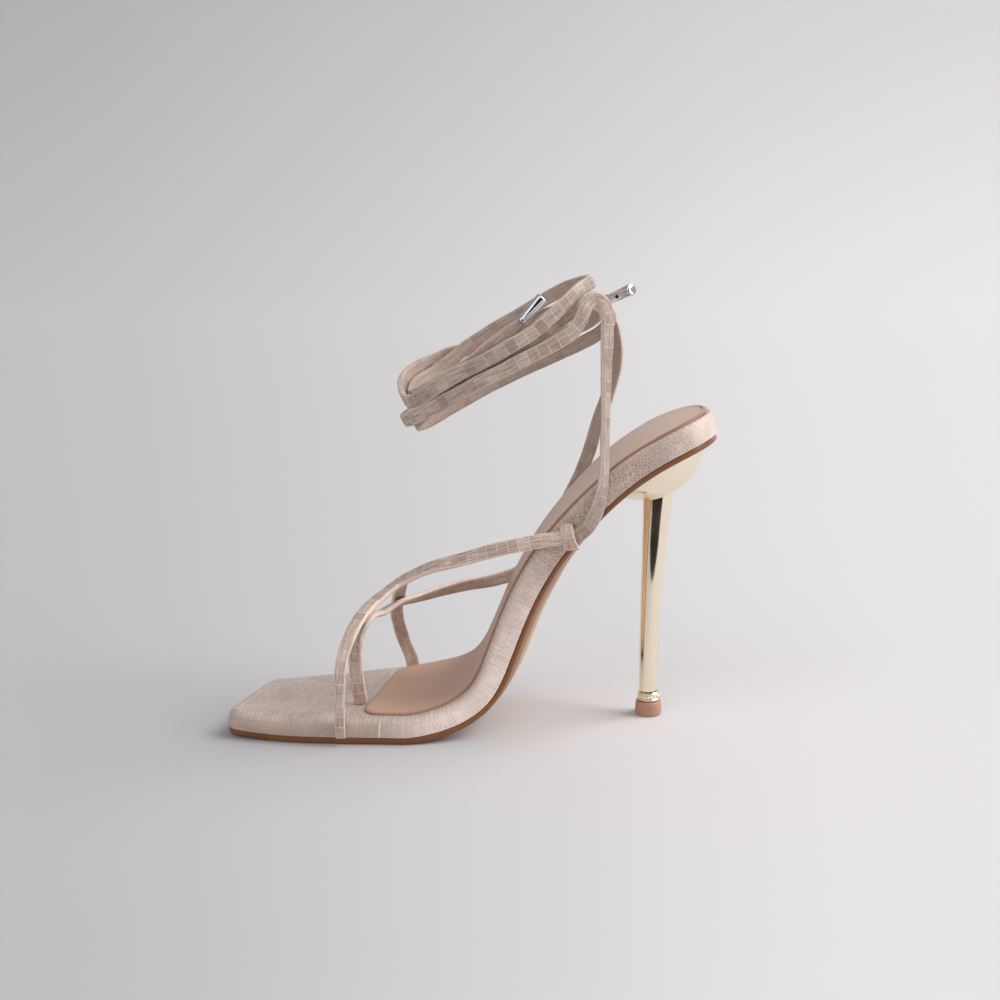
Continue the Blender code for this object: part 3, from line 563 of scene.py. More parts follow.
wrap_rings = []
wrap_wall = []
wrap_net = []
turns = [0.5 * math.pi * k / EDGE_ROUND_STEPS for k in range(EDGE_ROUND_STEPS + 1)]
stations = sole_stations(0.0, 0.0, 0.0, TOE_CORNER_R)
for row, distance, inset in stations:
    outer = reach_of(row, inset)
    breadth = row[3] - row[1]
    edge_round = heel_trim(row[0], EDGE_ROUND, HEEL_EDGE_ROUND)
    radius = min(edge_round, 0.15 * (outer * breadth))
    drop = quarter(min(distance, edge_round), edge_round)
    end_turn = math.acos(1.0 - min(distance, edge_round) / edge_round)
    end_mark = max(0.0, 1.0 - end_turn / WALL_TURN)
    ring = []
    wall = []
    lay(ring, wall, row, outer * np.linspace(0.0, BOARD_SHARE, BOARD_POINTS), lambda fraction: 0.0)
    for side in (1, -1):
        rounded = []
        full = top_height(row, side * outer) - drop
        straight = max(full - radius, LEAST_WALL)
        bulge = WALL_BULGE - fold_depth(side, along(row, side * outer)[0])
        for k in range(WALL_STEPS):
            share = k / WALL_STEPS
            swell = bulge * math.sin(math.pi * min(share * straight / full + BULGE_LOW, 1.0))
            fraction = side * (outer + 2.0 * swell * min(1.0, distance / BULGE_FROM_TOE) / breadth)
            rounded.append((fraction, straight * share, 1.0))
        for turn in turns:
            inward = radius * (1.0 - math.cos(turn))
            fraction = side * (outer - 1.0 + reach_of(row, inward))
            rise = top_height(row, fraction) - drop - radius * (1.0 - math.sin(turn))
            rounded.append((fraction, rise, max(0.0, 1.0 - turn / WALL_TURN)))
        inner = abs(rounded[-1][0])
        if side > 0:
            strip = rounded + [(inner * f, None, 0.0) for f in reversed(spread(TOP_POINTS)[1:-1])]
        else:
            strip = list(reversed(rounded))
        for fraction, rise, mark in strip:
            s, y = along(row, fraction)
            height = top_height(row, fraction) - drop if rise is None else rise
            ring.append(bend(s, y, height))
            wall.append(max(mark, end_mark))
    lay(ring, wall, row, outer * np.linspace(-BOARD_SHARE, -0.15, BOARD_POINTS), lambda fraction: 0.0)
    wrap_rings.append(ring)
    wrap_wall.append(wall)
    net_here = float(np.interp(0.5 * (row[0] + row[2]), NET_SHARE[:, 0], NET_SHARE[:, 1]))
    wrap_net.append([net_here] * len(ring))
wrap_runs = run_lengths(stations)
wrap_seam_run = float(np.interp(WRAP_SEAM_S, [row[0] for row, distance, inset in stations], wrap_runs))
wrap_mesh = shell("footbed_wrap", wrap_rings, wrap_runs, {"wall": wrap_wall, "spots": wrap_net})
smooth(wrap_mesh, 60.0)


def vector_maths(tree, operation, inputs):
    return add(tree, "ShaderNodeVectorMath", inputs, operation=operation).outputs[0]


def tile_group():
    """Pressed leather tiles in staggered rows: the lines between them and a tone for each."""
    sizes = ("Tile Length", "Row Height", "Line Width", "Waver")
    group, enter, leave = new_group("pressed_tiles", "ShaderNodeTree",
                                    {"Vector": "Vector", **dict.fromkeys(sizes, "Float")},
                                    {"Line": "Float", "Tone": "Float"})
    wander = add(group, "ShaderNodeTexNoise", {"Vector": enter["Vector"], "Scale": 0.45, "Detail": 2.0})
    centred = vector_maths(group, "SUBTRACT", {0: wander.outputs["Color"], 1: (0.5, 0.5, 0.5)})
    scaled = vector_maths(group, "SCALE", {0: centred, "Scale": enter["Waver"]})
    moved = vector_maths(group, "ADD", {0: enter["Vector"], 1: scaled})
    pressed = add(group, "ShaderNodeTexBrick", {
        "Vector": moved, "Color1": (0.0, 0.0, 0.0, 1.0), "Color2": (1.0, 1.0, 1.0, 1.0),
        "Mortar": (0.5, 0.5, 0.5, 1.0), "Scale": 1.0, "Mortar Size": enter["Line Width"],
        "Mortar Smooth": 0.7, "Brick Width": enter["Tile Length"], "Row Height": enter["Row Height"]})
    fill(group, leave, {"Line": pressed.outputs["Fac"], "Tone": pressed.outputs["Color"]})
    return group


pressed_tiles = tile_group()


def tiles(tree, vector, length, height, line, waver):
    sockets = {"Vector": vector, "Tile Length": length, "Row Height": height, "Line Width": line, "Waver": waver}
    made = add(tree, "ShaderNodeGroup", sockets, node_tree=pressed_tiles)
    return made.outputs["Line"], made.outputs["Tone"]


def mix_values(tree, factor, first, second):
    return add(tree, "ShaderNodeMix", {0: factor, 2: first, 3: second}).outputs[0]


WRAP_PORES = 2600.0
# Pressed scales in millimetres: length, row height, line width, waver
ROW_TILES = (9.0, 1.8, 0.16, 0.5)
RIB_TILES = (12.0, 0.95, 0.12, 0.35)
NET_CELLS = 800.0
NET_LINE_WIDTH = (0.05, 0.22)
# From and to along the sole: how clear the net is, and how far the heel's end is painted paler as painted light
# from the right
NET_CLEAR = (60.0, 120.0, 0.3, 0.85)
HEEL_PAINTED_LIGHT = (216.0, 246.0, 0.0, 0.68)
# The ribs' pink is partly the waist wall's own pale tone and partly painted light on that wall.
RIB_PAINTED_LIGHT_PINK = (paint(232, 212, 204), paint(244, 227, 220))
RIB_LINE = paint(192, 166, 154)
NET_CELL = paint(166, 143, 132)
NET_LINE = paint(204, 184, 172)
HEEL_PAINTED_LIGHT_PINK = paint(232, 214, 204)
TOP_PINK = (paint(196, 178, 170), paint(208, 191, 182))
TOP_LINE = paint(166, 144, 134)
SEAM_PINK = paint(240, 224, 212)
SEAM_HALF_WIDTH = (0.16, 0.5)
SEAM_RISE = 3.0
PORE_RISE = 0.25
wrap_leather, tree, shader = new_material("wrap_leather", roughness=0.4)
pores = grain(tree, WRAP_PORES)
wall = attribute(tree, "wall")
spots = attribute(tree, "spots")
ways = split(tree, attribute(tree, "skin", "Vector"))
turned = add(tree, "ShaderNodeCombineXYZ", {0: ways["Y"], 1: ways["X"]}).outputs[0]
row_line, row_tone = tiles(tree, turned, *ROW_TILES)
rib_line, rib_tone = tiles(tree, turned, *RIB_TILES)
place = add(tree, "ShaderNodeTexCoord").outputs["Object"]
cell = add(tree, "ShaderNodeTexVoronoi", {"Vector": place, "Scale": NET_CELLS, "Randomness": 0.85},
           feature="DISTANCE_TO_EDGE").outputs["Distance"]
net = map_range(tree, cell, *NET_LINE_WIDTH, 1.0, 0.0)
net = mix_values(tree, map_range(tree, ways["X"], *NET_CLEAR), 0.45, net)
# The waist's ribs are painted paler, partly as painted light on the wall.
rib_colour = blend_colours(tree, rib_tone, *RIB_PAINTED_LIGHT_PINK)
rib_colour = blend_colours(tree, rib_line, rib_colour, RIB_LINE)
net_colour = blend_colours(tree, net, NET_CELL, NET_LINE)
# Painted light: the net at the heel's end is painted paler where the light from the right falls on it.
net_colour = blend_colours(tree, map_range(tree, ways["X"], *HEEL_PAINTED_LIGHT), net_colour, HEEL_PAINTED_LIGHT_PINK)
side_colour = blend_colours(tree, spots, rib_colour, net_colour)
top_colour = blend_colours(tree, row_tone, *TOP_PINK)
top_colour = blend_colours(tree, row_line, top_colour, TOP_LINE)
leather = blend_colours(tree, wall, top_colour, side_colour)
from_seam = maths(tree, "ABSOLUTE", maths(tree, "SUBTRACT", ways["X"], wrap_seam_run))
seam = map_range(tree, from_seam, *SEAM_HALF_WIDTH, 1.0, 0.0)
medial = map_range(tree, ways["Y"], WRAP_SEAM_GIRTH, WRAP_SEAM_GIRTH + 0.5, 0.0, 1.0)
seam = maths(tree, "MULTIPLY", maths(tree, "MULTIPLY", seam, medial), wall)
leather = blend_colours(tree, seam, leather, SEAM_PINK)
shade = map_range(tree, pores["Cloud"], 0.3, 0.7, 0.9, 1.06)
line_mask = mix_values(tree, wall, row_line, mix_values(tree, spots, rib_line, net))
depth = maths(tree, "SUBTRACT", maths(tree, "MULTIPLY", seam, SEAM_RISE), line_mask)
relief = maths(tree, "MULTIPLY_ADD", pores["Pore"], PORE_RISE, depth)
fill(tree, shader, {"Base Color": vector_maths(tree, "SCALE", {0: leather, "Scale": shade}),
                    "Roughness": map_range(tree, line_mask, 0.0, 1.0, 0.36, 0.55),
                    "Normal": bump(tree, relief, 0.00018, 0.6),
                    "Coat Weight": 0.12, "Coat Roughness": 0.3})
wrap_mesh.materials.append(wrap_leather)
settle(link_object("footbed_wrap", wrap_mesh), "footbed_cover", "footbed")

# Sock: a thin tan leather lining cemented on the footbed from behind the toes to the heel.
# Its corners are rounded at the front and its cut edge is a little darker than its face.
SOCK_INSET = 4.6
SOCK_HEEL_INSET = 2.3
SOCK_SEAT = -0.3
SOCK_T = 0.8
SOCK_FRONT_ROW = 3.55
SOCK_CORNER_R = 8.0
SOCK_EDGE_ROUND = 0.35
SOCK_RIM = 1.3
SOCK_UNDER_POINTS = 8
SOCK_FACE_POINTS = 41
SOCK_PORES = 3200.0
FRONT_TAN = (paint(184, 148, 126), paint(202, 168, 148))
HEEL_TAN = (paint(208, 182, 166), paint(222, 198, 184))
CUT_EDGE_TAN = paint(168, 128, 106)
# Distance along the sock over which the front's tan turns into the heel's
TAN_TURNS = (70.0, 150.0)


def sock_bed(row):
    """Height at which the sock's underside sits in the footbed, for each place on a cross line."""
    return lambda fraction: top_height(row, fraction) + SOCK_SEAT


sock_rings = []
sock_rim = []
stations = sole_stations(SOCK_FRONT_ROW, SOCK_INSET, SOCK_HEEL_INSET, SOCK_CORNER_R)
for row, distance, inset in stations:
    outer = reach_of(row, inset)
    width = 0.5 * outer * (row[3] - row[1])
    ring = []
    rim = []
    lay(ring, rim, row, outer * np.linspace(0.0, 1.0, SOCK_UNDER_POINTS), sock_bed(row))
    for fraction in reversed(spread(SOCK_FACE_POINTS)):
        s, y = along(row, outer * fraction)
        inward = min(width * (1.0 - abs(fraction)), distance)
        lift = SOCK_T - quarter(min(inward, SOCK_EDGE_ROUND), SOCK_EDGE_ROUND)
        ring.append(bend(s, y, top_height(row, outer * fraction) + GAP + lift))
        rim.append(max(0.0, 1.0 - inward / SOCK_RIM))
    lay(ring, rim, row, outer * np.linspace(-1.0, -0.12, SOCK_UNDER_POINTS), sock_bed(row))
    sock_rings.append(ring)
    sock_rim.append(rim)
sock_mesh = shell("sock_lining", sock_rings, run_lengths(stations), {"rim": sock_rim})
smooth(sock_mesh, 45.0)
lining, tree, shader = new_material("sock_leather_finish", roughness=0.5)
pores = grain(tree, SOCK_PORES)
run = split(tree, attribute(tree, "skin", "Vector"))["X"]
front_face = blend_colours(tree, pores["Cloud"], *FRONT_TAN)
heel_face = blend_colours(tree, pores["Cloud"], *HEEL_TAN)
face = blend_colours(tree, map_range(tree, run, *TAN_TURNS, 0.0, 1.0), front_face, heel_face)
fill(tree, shader, {"Base Color": blend_colours(tree, attribute(tree, "rim"), face, CUT_EDGE_TAN),
                    "Roughness": map_range(tree, pores["Cloud"], 0.3, 0.7, 0.42, 0.56),
                    "Normal": bump(tree, pores["Pore"], 0.00012, 0.5)})
sock_mesh.materials.append(lining)
settle(link_object("sock_lining", sock_mesh), "sock_leather", "sock")

# Heel: a slim stem moulded in one with a rounded cup, plated in pale polished gold.
# The cup is shaped to the outsole's underside and screwed up through the footbed.
STEM = (
    (10.3, 104.5, 3.6), (30.0, 104.7, 3.9), (50.0, 105.2, 4.3), (70.0, 106.0, 4.9), (84.0, 106.7, 5.5),
    (91.0, 107.1, 6.0), (98.0, 107.4, 6.4),
)
CUP_S = 158.5
CUP_SIZE = (21.5, 19.0, 16.5)
SEAT_FROM_S = 112.0
SEAT_TO_S = 189.0
SEAT_STEPS = 40
SEAT_POINTS = 25
SEAT_HALF_WIDTH = 34.0
SEAT_HEIGHT = 40.0
TURN_STEPS = 72
GOLD = paint(250, 238, 214)
GOLD_DULL = (0.06, 0.12)


def plain_skin(name, rings):
    return shell(name, rings, [0.0] * len(rings), {})


stem_rings = []
for height, centre_x, radius in spline(STEM, 8):
    angles = [2.0 * math.pi * k / TURN_STEPS for k in range(TURN_STEPS)]
    stem_rings.append([Vector((centre_x + radius * math.cos(a), radius * math.sin(a), height)) for a in angles])
stem = link_object("stem_operand", plain_skin("stem_operand", stem_rings))
seat_rings = []
seat_half = -OUTLINE[-1][1] - OUTSOLE_INSET
for s in np.linspace(SEAT_FROM_S, SEAT_TO_S, SEAT_STEPS):
    ring = []
    for fraction in spread(SEAT_POINTS):
        share = max(-1.0, min(1.0, fraction * SEAT_HALF_WIDTH / seat_half))
        ring.append(bend(s, fraction * SEAT_HALF_WIDTH, -underside(s, share) - GAP))
    ring.append(bend(s, SEAT_HALF_WIDTH, SEAT_HEIGHT))
    ring.append(bend(s, -SEAT_HALF_WIDTH, SEAT_HEIGHT))
    seat_rings.append(ring)
seat = link_object("seat_operand", plain_skin("seat_operand", seat_rings))
slope = float(np.interp(CUP_S, profile_s, profile_slope))
cup_place = (bend(CUP_S, 0.0, 0.0) + TO_FRAME) * MM
cup_size = Matrix.Diagonal((*[size * MM for size in CUP_SIZE], 1.0))
builder = bmesh.new()
bmesh.ops.create_uvsphere(builder, u_segments=96, v_segments=64, radius=1.0,
                          matrix=Matrix.Translation(cup_place) @ Matrix.Rotation(-slope, 4, "Y") @ cup_size)
cup = link_object("heel_cup", mesh_from(builder, "heel_cup"))
for operand, operation in ((stem, "UNION"), (seat, "DIFFERENCE")):
    cut = cup.modifiers.new(operand.name, "BOOLEAN")
    cut.operation = operation
    cut.solver = "EXACT"
    cut.object = operand


def as_plain_mesh(source, name):
    """The evaluated shape of an object as a mesh with no modifiers, and the source removed."""
    evaluated = source.evaluated_get(bpy.context.evaluated_depsgraph_get())
    mesh = bpy.data.meshes.new_from_object(evaluated)
    mesh.name = name
    bpy.data.objects.remove(source, do_unlink=True)
    return mesh


heel_mesh = as_plain_mesh(cup, "heel_plated")
bpy.data.objects.remove(stem, do_unlink=True)
bpy.data.objects.remove(seat, do_unlink=True)
smooth(heel_mesh, 30.0)


def plated(name, colour, low, high):
    """Polished plated metal with faint cloudy wiping marks in its gloss."""
    material, tree, shader = new_material(name, metallic=1.0)
    wiped = grain(tree, 900.0)["Cloud"]
    deeper = tuple(0.94 * part for part in colour[:3]) + (1.0,)
    fill(tree, shader, {"Base Color": blend_colours(tree, wiped, colour, deeper),
                        "Roughness": map_range(tree, wiped, 0.3, 0.7, low, high)})
    return material


gold = plated("gold_plate_finish", GOLD, *GOLD_DULL)
heel_mesh.materials.clear()
heel_mesh.materials.append(gold)
settle(link_object("heel_plated", heel_mesh), "gold_plate", "heel")

# Heel ring: a bright plated collar between stem and top piece, with a row of pressed facets.
# The collar is turned, and the facets are the same small cushion repeated round it.
HEEL_TIP_X = 105.0
RING = ((0.0, 6.35), (4.3, 6.35), (4.55, 6.6), (4.6, 7.0), (4.2, 7.4), (4.2, 8.7), (4.45, 9.05), (4.4, 9.45),
        (3.9, 9.95), (0.0, 9.95))
FACET_COUNT = 18
FACET_RADIUS = 4.2
FACET_HEIGHT = 8.05
FACET_SIZE = 0.62
FACET_SHAPE = (0.72, 0.92, 1.1)
RING_GOLD = paint(248, 238, 214)
RING_DULL = (0.06, 0.14)
UPRIGHT = (0.0, 0.0, 1.0)


def lathe(name, profile, axis_place, axis, steps):
    """Turn a half profile of radius and height about an axis."""
    builder = bmesh.new()
    rows = []
    for radius, height in profile:
        angles = [2.0 * math.pi * k / steps for k in range(steps)] if radius > 0.0 else [0.0]
        rows.append([builder.verts.new((radius * math.cos(a), radius * math.sin(a), height)) for a in angles])
    for row, following in zip(rows, rows[1:]):
        for k in range(steps):
            after = (k + 1) % steps
            corners = [row[k % len(row)], row[after % len(row)]]
            corners += [following[after % len(following)], following[k % len(following)]]
            builder.faces.new(list(dict.fromkeys(corners)))
    bmesh.ops.recalc_face_normals(builder, faces=builder.faces[:])
    turn = Vector(axis).to_track_quat("Z", "Y").to_matrix().to_4x4()
    place = Matrix.Translation((Vector(axis_place) + TO_FRAME) * MM)
    bmesh.ops.transform(builder, matrix=place @ turn @ Matrix.Scale(MM, 4), verts=builder.verts[:])
    return mesh_from(builder, name)


def socket_names(group, *names):
    """Identifiers of a tree's named inputs, in the order asked for."""
    found = {item.name: item.identifier for item in group.interface.items_tree if item.in_out == "INPUT"}
    return [found[name] for name in names]


def facet_tree():
    """Small cushions spaced evenly round an upright circle, joined to the collar that comes in."""
    inputs = {"Geometry": "Geometry", "Count": "Int", "Radius": "Float", "Facet Size": "Float",
              "Centre": "Vector", "Plating": "Material"}
    group, enter, leave = new_group("facet_row", "GeometryNodeTree", inputs, {"Geometry": "Geometry"})
    circle = add(group, "GeometryNodeMeshCircle", {"Vertices": enter["Count"], "Radius": enter["Radius"]})
    facet = add(group, "GeometryNodeMeshIcoSphere", {"Radius": enter["Facet Size"], "Subdivisions": 2})
    outward = add(group, "GeometryNodeInputPosition")
    facing = add(group, "FunctionNodeAlignRotationToVector", {"Vector": outward.outputs[0]}, axis="X")
    cushions = add(group, "GeometryNodeInstanceOnPoints", {
        "Points": circle.outputs["Mesh"], "Instance": facet.outputs["Mesh"],
        "Rotation": facing.outputs["Rotation"], "Scale": FACET_SHAPE})
    placed = add(group, "GeometryNodeTransform", {"Geometry": cushions.outputs["Instances"],
                                                  "Translation": enter["Centre"]})
    both = add(group, "GeometryNodeJoinGeometry")
    group.links.new(enter["Geometry"], both.inputs[0])
    group.links.new(placed.outputs["Geometry"], both.inputs[0])
    real = add(group, "GeometryNodeRealizeInstances", {0: both.outputs[0]})
    finish = add(group, "GeometryNodeSetMaterial", {"Geometry": real.outputs[0], "Material": enter["Plating"]})
    fill(group, leave, {"Geometry": finish.outputs["Geometry"]})
    return group


def set_inputs(modifier, **values):
    """Set a tree's named inputs on its modifier, with _ for each space of a name."""
    names = [name.replace("_", " ") for name in values]
    for identifier, value in zip(socket_names(modifier.node_group, *names), values.values()):
        modifier[identifier] = value


ring_gold = plated("ring_plate_finish", RING_GOLD, *RING_DULL)
collar = link_object("collar_source", lathe("collar_source", RING, (HEEL_TIP_X, 0.0, 0.0), UPRIGHT, 64))
facets = collar.modifiers.new("facets", "NODES")
facets.node_group = facet_tree()
set_inputs(facets, Count=FACET_COUNT, Radius=FACET_RADIUS * MM, Facet_Size=FACET_SIZE * MM,
           Centre=((HEEL_TIP_X + TREAD_SHIFT) * MM, 0.0, FACET_HEIGHT * MM), Plating=ring_gold)
ring_mesh = as_plain_mesh(collar, "heel_ring_plated")
smooth(ring_mesh, 35.0)
settle(link_object("heel_ring_plated", ring_mesh), "gold_plate", "heel_ring")

# Top piece: the replaceable rubber foot of the heel, moulded in a brown pink and driven onto the stem.
# Its face on the floor is flat and scuffed, and its lower edge is a little worn round.
TOP_PIECE = ((0.0, 0.0), (4.85, 0.0), (5.15, 0.12), (5.33, 0.4), (5.4, 0.8), (5.4, 3.2), (5.34, 4.4), (5.15, 5.5),
             (5.0, 5.85), (4.75, 6.0), (0.0, 6.0))
FOOT_PORES = 2400.0
FOOT_BROWN = (paint(166, 122, 100), paint(188, 146, 122))
top_mesh = lathe("heel_top_rubber", TOP_PIECE, (HEEL_TIP_X, 0.0, 0.0), UPRIGHT, 72)
smooth(top_mesh, 40.0)
foot, tree, shader = new_material("top_piece_rubber_finish", roughness=0.6)
scuff = grain(tree, FOOT_PORES)
fill(tree, shader, {"Base Color": blend_colours(tree, scuff["Cloud"], *FOOT_BROWN),
                    "Roughness": map_range(tree, scuff["Pore"], 0.3, 0.7, 0.5, 0.68),
                    "Normal": bump(tree, scuff["Pore"], 0.0001, 0.4)})
top_mesh.materials.append(foot)
settle(link_object("heel_top_rubber", top_mesh), "top_piece_rubber", "heel_top_piece")

# Vamp straps: rolled straps of the embossed leather, folded round a cord core with the join inside.
# The main strap crosses from the medial sole to the keeper, and two others join it over the toes.
STRAP_W = 5.6
STRAP_T = 2.6
STRAP_FULLNESS = 0.55
STRAP_GROOVE = 0.35
GROOVE_HALF_WIDTH = 0.7
STRAP_MAIN = (
    (-19.0, -38.85, 3.7, 0.0, -1.0, 0.0),
    (-19.2, -38.9, 11.0, 0.0, -1.0, 0.0),
    (-19.1, -39.4, 20.0, 0.0, -1.0, 0.05),
    (-18.0, -36.8, 34.8, -0.15, -0.95, 0.30),
    (-14.5, -30.6, 44.3, -0.30, -0.75, 0.60),
    (-9.8, -21.0, 50.3, -0.35, -0.50, 0.80),
    (-3.4, -11.0, 54.2, -0.40, -0.40, 0.83),
    (2.6, -3.6, 57.2, -0.45, -0.35, 0.82),
    (13.1, -8.5, 63.7, -0.40, -0.50, 0.75),
    (27.4, -17.0, 69.8, -0.30, -0.70, 0.60),
    (43.3, -24.5, 76.0, -0.15, -0.90, 0.35),
    (58.8, -28.0, 80.0, 0.0, -1.0, 0.08),
    (69.6, -28.1, 81.7, 0.0, -1.0, 0.0),
)
STRAP_LATERAL = (
    (5.0, 35.35, 3.7, -0.33, 0.94, 0.0),
    (4.9, 35.45, 11.0, -0.33, 0.94, 0.0),
    (1.4, 35.0, 21.0, -0.30, 0.93, 0.20),
    (-0.8, 25.0, 35.3, -0.35, 0.70, 0.60),
    (0.9, 9.0, 47.0, -0.40, 0.45, 0.80),
    (3.2, -0.8, 55.2, -0.48, 0.05, 0.87),
    (4.4, -3.6, 57.6, -0.48, -0.20, 0.85),
)
STRAP_TOE = (
    (-12.7, -19.4, 11.3, 0.0, -1.0, 0.0),
    (-13.6, -19.6, 18.0, 0.0, -1.0, 0.0),
    (-14.4, -20.2, 27.0, -0.10, -1.0, 0.0),
    (-14.3, -21.3, 35.0, -0.25, -0.92, 0.15),
    (-12.8, -23.4, 41.4, -0.40, -0.75, 0.50),
    (-9.8, -24.6, 47.3, -0.36, -0.56, 0.74),
    (-4.6, -12.6, 46.7, -0.35, -0.05, 0.93),
    (1.8, 5.6, 46.1, -0.35, 0.40, 0.85),
    (9.7, 14.0, 46.2, -0.30, 0.65, 0.70),
    (26.3, 23.0, 48.6, -0.20, 0.90, 0.40),
    (42.0, 27.0, 50.6, -0.05, 1.0, 0.10),
    (51.0, 28.1, 53.4, 0.0, 1.0, 0.0),
    (57.4, 28.2, 60.4, 0.0, 1.0, 0.0),
    (62.0, 28.2, 67.2, 0.0, 1.0, 0.0),
)


def strap_tree():
    """A rolled strap on a route: a flattened oval with full edges and a join groove along its inside."""
    inputs = {"Geometry": "Geometry", "Width": "Float", "Thickness": "Float", "Fullness": "Float",
              "Groove": "Float", "Section Points": "Int", "Leather": "Material"}
    group, enter, leave = new_group("rolled_strap", "GeometryNodeTree", inputs, {"Geometry": "Geometry"})

    def rounded(wave, size):
        """Signed power of a sine or cosine, times half a size."""
        full = maths(group, "POWER", maths(group, "ABSOLUTE", wave), enter["Fullness"])
        signed = maths(group, "MULTIPLY", full, maths(group, "SIGN", wave))
        return maths(group, "MULTIPLY", signed, maths(group, "MULTIPLY", size, 0.5))

    def along_spline(output):
        return add(group, "GeometryNodeSplineParameter").outputs[output]

    def store(geometry, name, value, data_type="FLOAT"):
        sockets = {"Geometry": geometry, "Name": name, "Value": value}
        return add(group, "GeometryNodeStoreNamedAttribute", sockets, data_type=data_type,
                   domain="POINT").outputs[0]

    def stored(name, data_type="FLOAT"):
        return add(group, "GeometryNodeInputNamedAttribute", {"Name": name}, data_type=data_type).outputs[0]

    circle = add(group, "GeometryNodeCurvePrimitiveCircle", {"Resolution": enter["Section Points"]})
    angle = maths(group, "MULTIPLY_ADD", along_spline("Factor"), 2.0 * math.pi, math.pi)
    outward = rounded(maths(group, "COSINE", angle), enter["Thickness"])
    sideways = rounded(maths(group, "SINE", angle), enter["Width"])
    off_join = maths(group, "DIVIDE", maths(group, "ABSOLUTE", sideways), GROOVE_HALF_WIDTH * MM)
    nearness = maths(group, "MAXIMUM", maths(group, "SUBTRACT", 1.0, off_join), 0.0)
    pressed = maths(group, "MULTIPLY", nearness, enter["Groove"])
    inner = maths(group, "LESS_THAN", outward, 0.0)
    outward = maths(group, "ADD", outward, maths(group, "MULTIPLY", pressed, inner))
    section_place = add(group, "ShaderNodeCombineXYZ", {0: outward, 1: sideways}).outputs[0]
    section = add(group, "GeometryNodeSetPosition", {"Geometry": circle.outputs["Curve"],
                                                     "Position": section_place}).outputs[0]
    section = store(section, "girth", along_spline("Length"))
    across = split(group, add(group, "GeometryNodeInputPosition").outputs[0])["X"]
    half_thickness = maths(group, "MULTIPLY", enter["Thickness"], 0.5)
    section = store(section, "lift", maths(group, "DIVIDE", across, half_thickness))
    route = add(group, "GeometryNodeMeshToCurve", {"Mesh": enter["Geometry"]}).outputs[0]
    facing = stored("outward", "FLOAT_VECTOR")
    turned = add(group, "GeometryNodeSetCurveNormal", {"Curve": route, "Normal": facing}, mode="FREE").outputs[0]
    turned = store(turned, "run", along_spline("Length"))
    tube = add(group, "GeometryNodeCurveToMesh", {
        "Curve": turned, "Profile Curve": section, "Scale": stored("swell"), "Fill Caps": True}).outputs["Mesh"]
    in_mm = [maths(group, "MULTIPLY", stored(name), 1.0 / MM) for name in ("run", "girth")]
    places = add(group, "ShaderNodeCombineXYZ", {0: in_mm[0], 1: in_mm[1], 2: stored("lift")}).outputs[0]
    real = add(group, "GeometryNodeRealizeInstances", {0: store(tube, "skin", places, "FLOAT_VECTOR")})
    finish = add(group, "GeometryNodeSetMaterial", {"Geometry": real.outputs[0], "Material": enter["Leather"]})
    fill(group, leave, {"Geometry": finish.outputs["Geometry"]})
    return group


rolled_strap = strap_tree()


def strap_mesh(name, points, swells, sizes, leather):
    """Sweep the rolled section along rows of place and outward direction, in millimetres."""
    width, thickness, fullness, groove, section_points = sizes
    places = points[:, :3]
    tangents = np.gradient(places, axis=0)
    tangents /= np.linalg.norm(tangents, axis=1)[:, None]
    facing = points[:, 3:6] - tangents * np.sum(points[:, 3:6] * tangents, axis=1)[:, None]
    facing /= np.linalg.norm(facing, axis=1)[:, None]
    shifted = (places + np.array(TO_FRAME)) * MM
    mesh = bpy.data.meshes.new(name)
    mesh.from_pydata(shifted.tolist(), [(k, k + 1) for k in range(len(shifted) - 1)], [])
    mesh.attributes.new("outward", "FLOAT_VECTOR", "POINT").data.foreach_set("vector", facing.ravel())
    mesh.attributes.new("swell", "FLOAT", "POINT").data.foreach_set("value", np.asarray(swells, dtype=float))
    route = link_object(name + "_route", mesh)
    rolled = route.modifiers.new("strap", "NODES")
    rolled.node_group = rolled_strap
    set_inputs(rolled, Width=width * MM, Thickness=thickness * MM, Fullness=fullness, Groove=groove * MM,
               Section_Points=section_points, Leather=leather)
    made = as_plain_mesh(route, name)
    builder = bmesh.new()
    builder.from_mesh(made)
    bmesh.ops.remove_doubles(builder, verts=builder.verts[:], dist=0.000001)
    bmesh.ops.recalc_face_normals(builder, faces=builder.faces[:])
    builder.to_mesh(made)
    builder.free()
    smooth(made, 55.0)
    return made


def soft_swell(points, creases):
    """Slight fullness along a strap, pinched where it creases: distance and depth of each crease."""
    run = np.concatenate(([0.0], np.cumsum(np.linalg.norm(np.diff(points[:, :3], axis=0), axis=1))))
    swell = 1.0 + 0.012 * np.sin(run * 0.33) + 0.01 * np.sin(run * 0.87 + 1.3)
    for distance, depth in creases:
        swell -= depth * np.exp(-((run - distance) / CREASE_HALF_LENGTH) ** 2)
    return swell


CREASE_HALF_LENGTH = 1.6
# Pressed tiles in millimetres: length, row height, line width, waver
STRAP_TILES = (4.4, 5.0, 0.15, 1.1)
# Streaks: how they are drawn out along the strap, then how far they show
STREAK_STRETCH = (0.13, 2.4, 1.0)
STREAK_SHOWS = (0.4, 0.64, 0.0, 0.85)
LINES_SHOW = (0.36, 0.60, 0.1, 0.95)
# Painted highlight on the strap's full edges: lift from, to, and how far it shows there
EDGE_HIGHLIGHT_SHOWS = (0.25, 0.9, 0.6, 0.0)
# Darker inside, partly the inner face's own colour and partly painted shade: lift from, to, and how far it shows
INSIDE_SHADE_SHOWS = (-0.4, -0.8, 0.0, 0.5)
TILE_PINK = (paint(178, 155, 144), paint(216, 197, 186))
STREAK_BROWN = paint(136, 110, 97)
TILE_LINE = paint(242, 227, 217)
# Colour of the painted highlight on the full edges
EDGE_PAINTED_HIGHLIGHT = paint(236, 220, 210)
# Colour of the inside, partly painted shade
INSIDE_TAN_PAINTED_SHADE = paint(176, 150, 134)
STREAK_RISE = 0.7


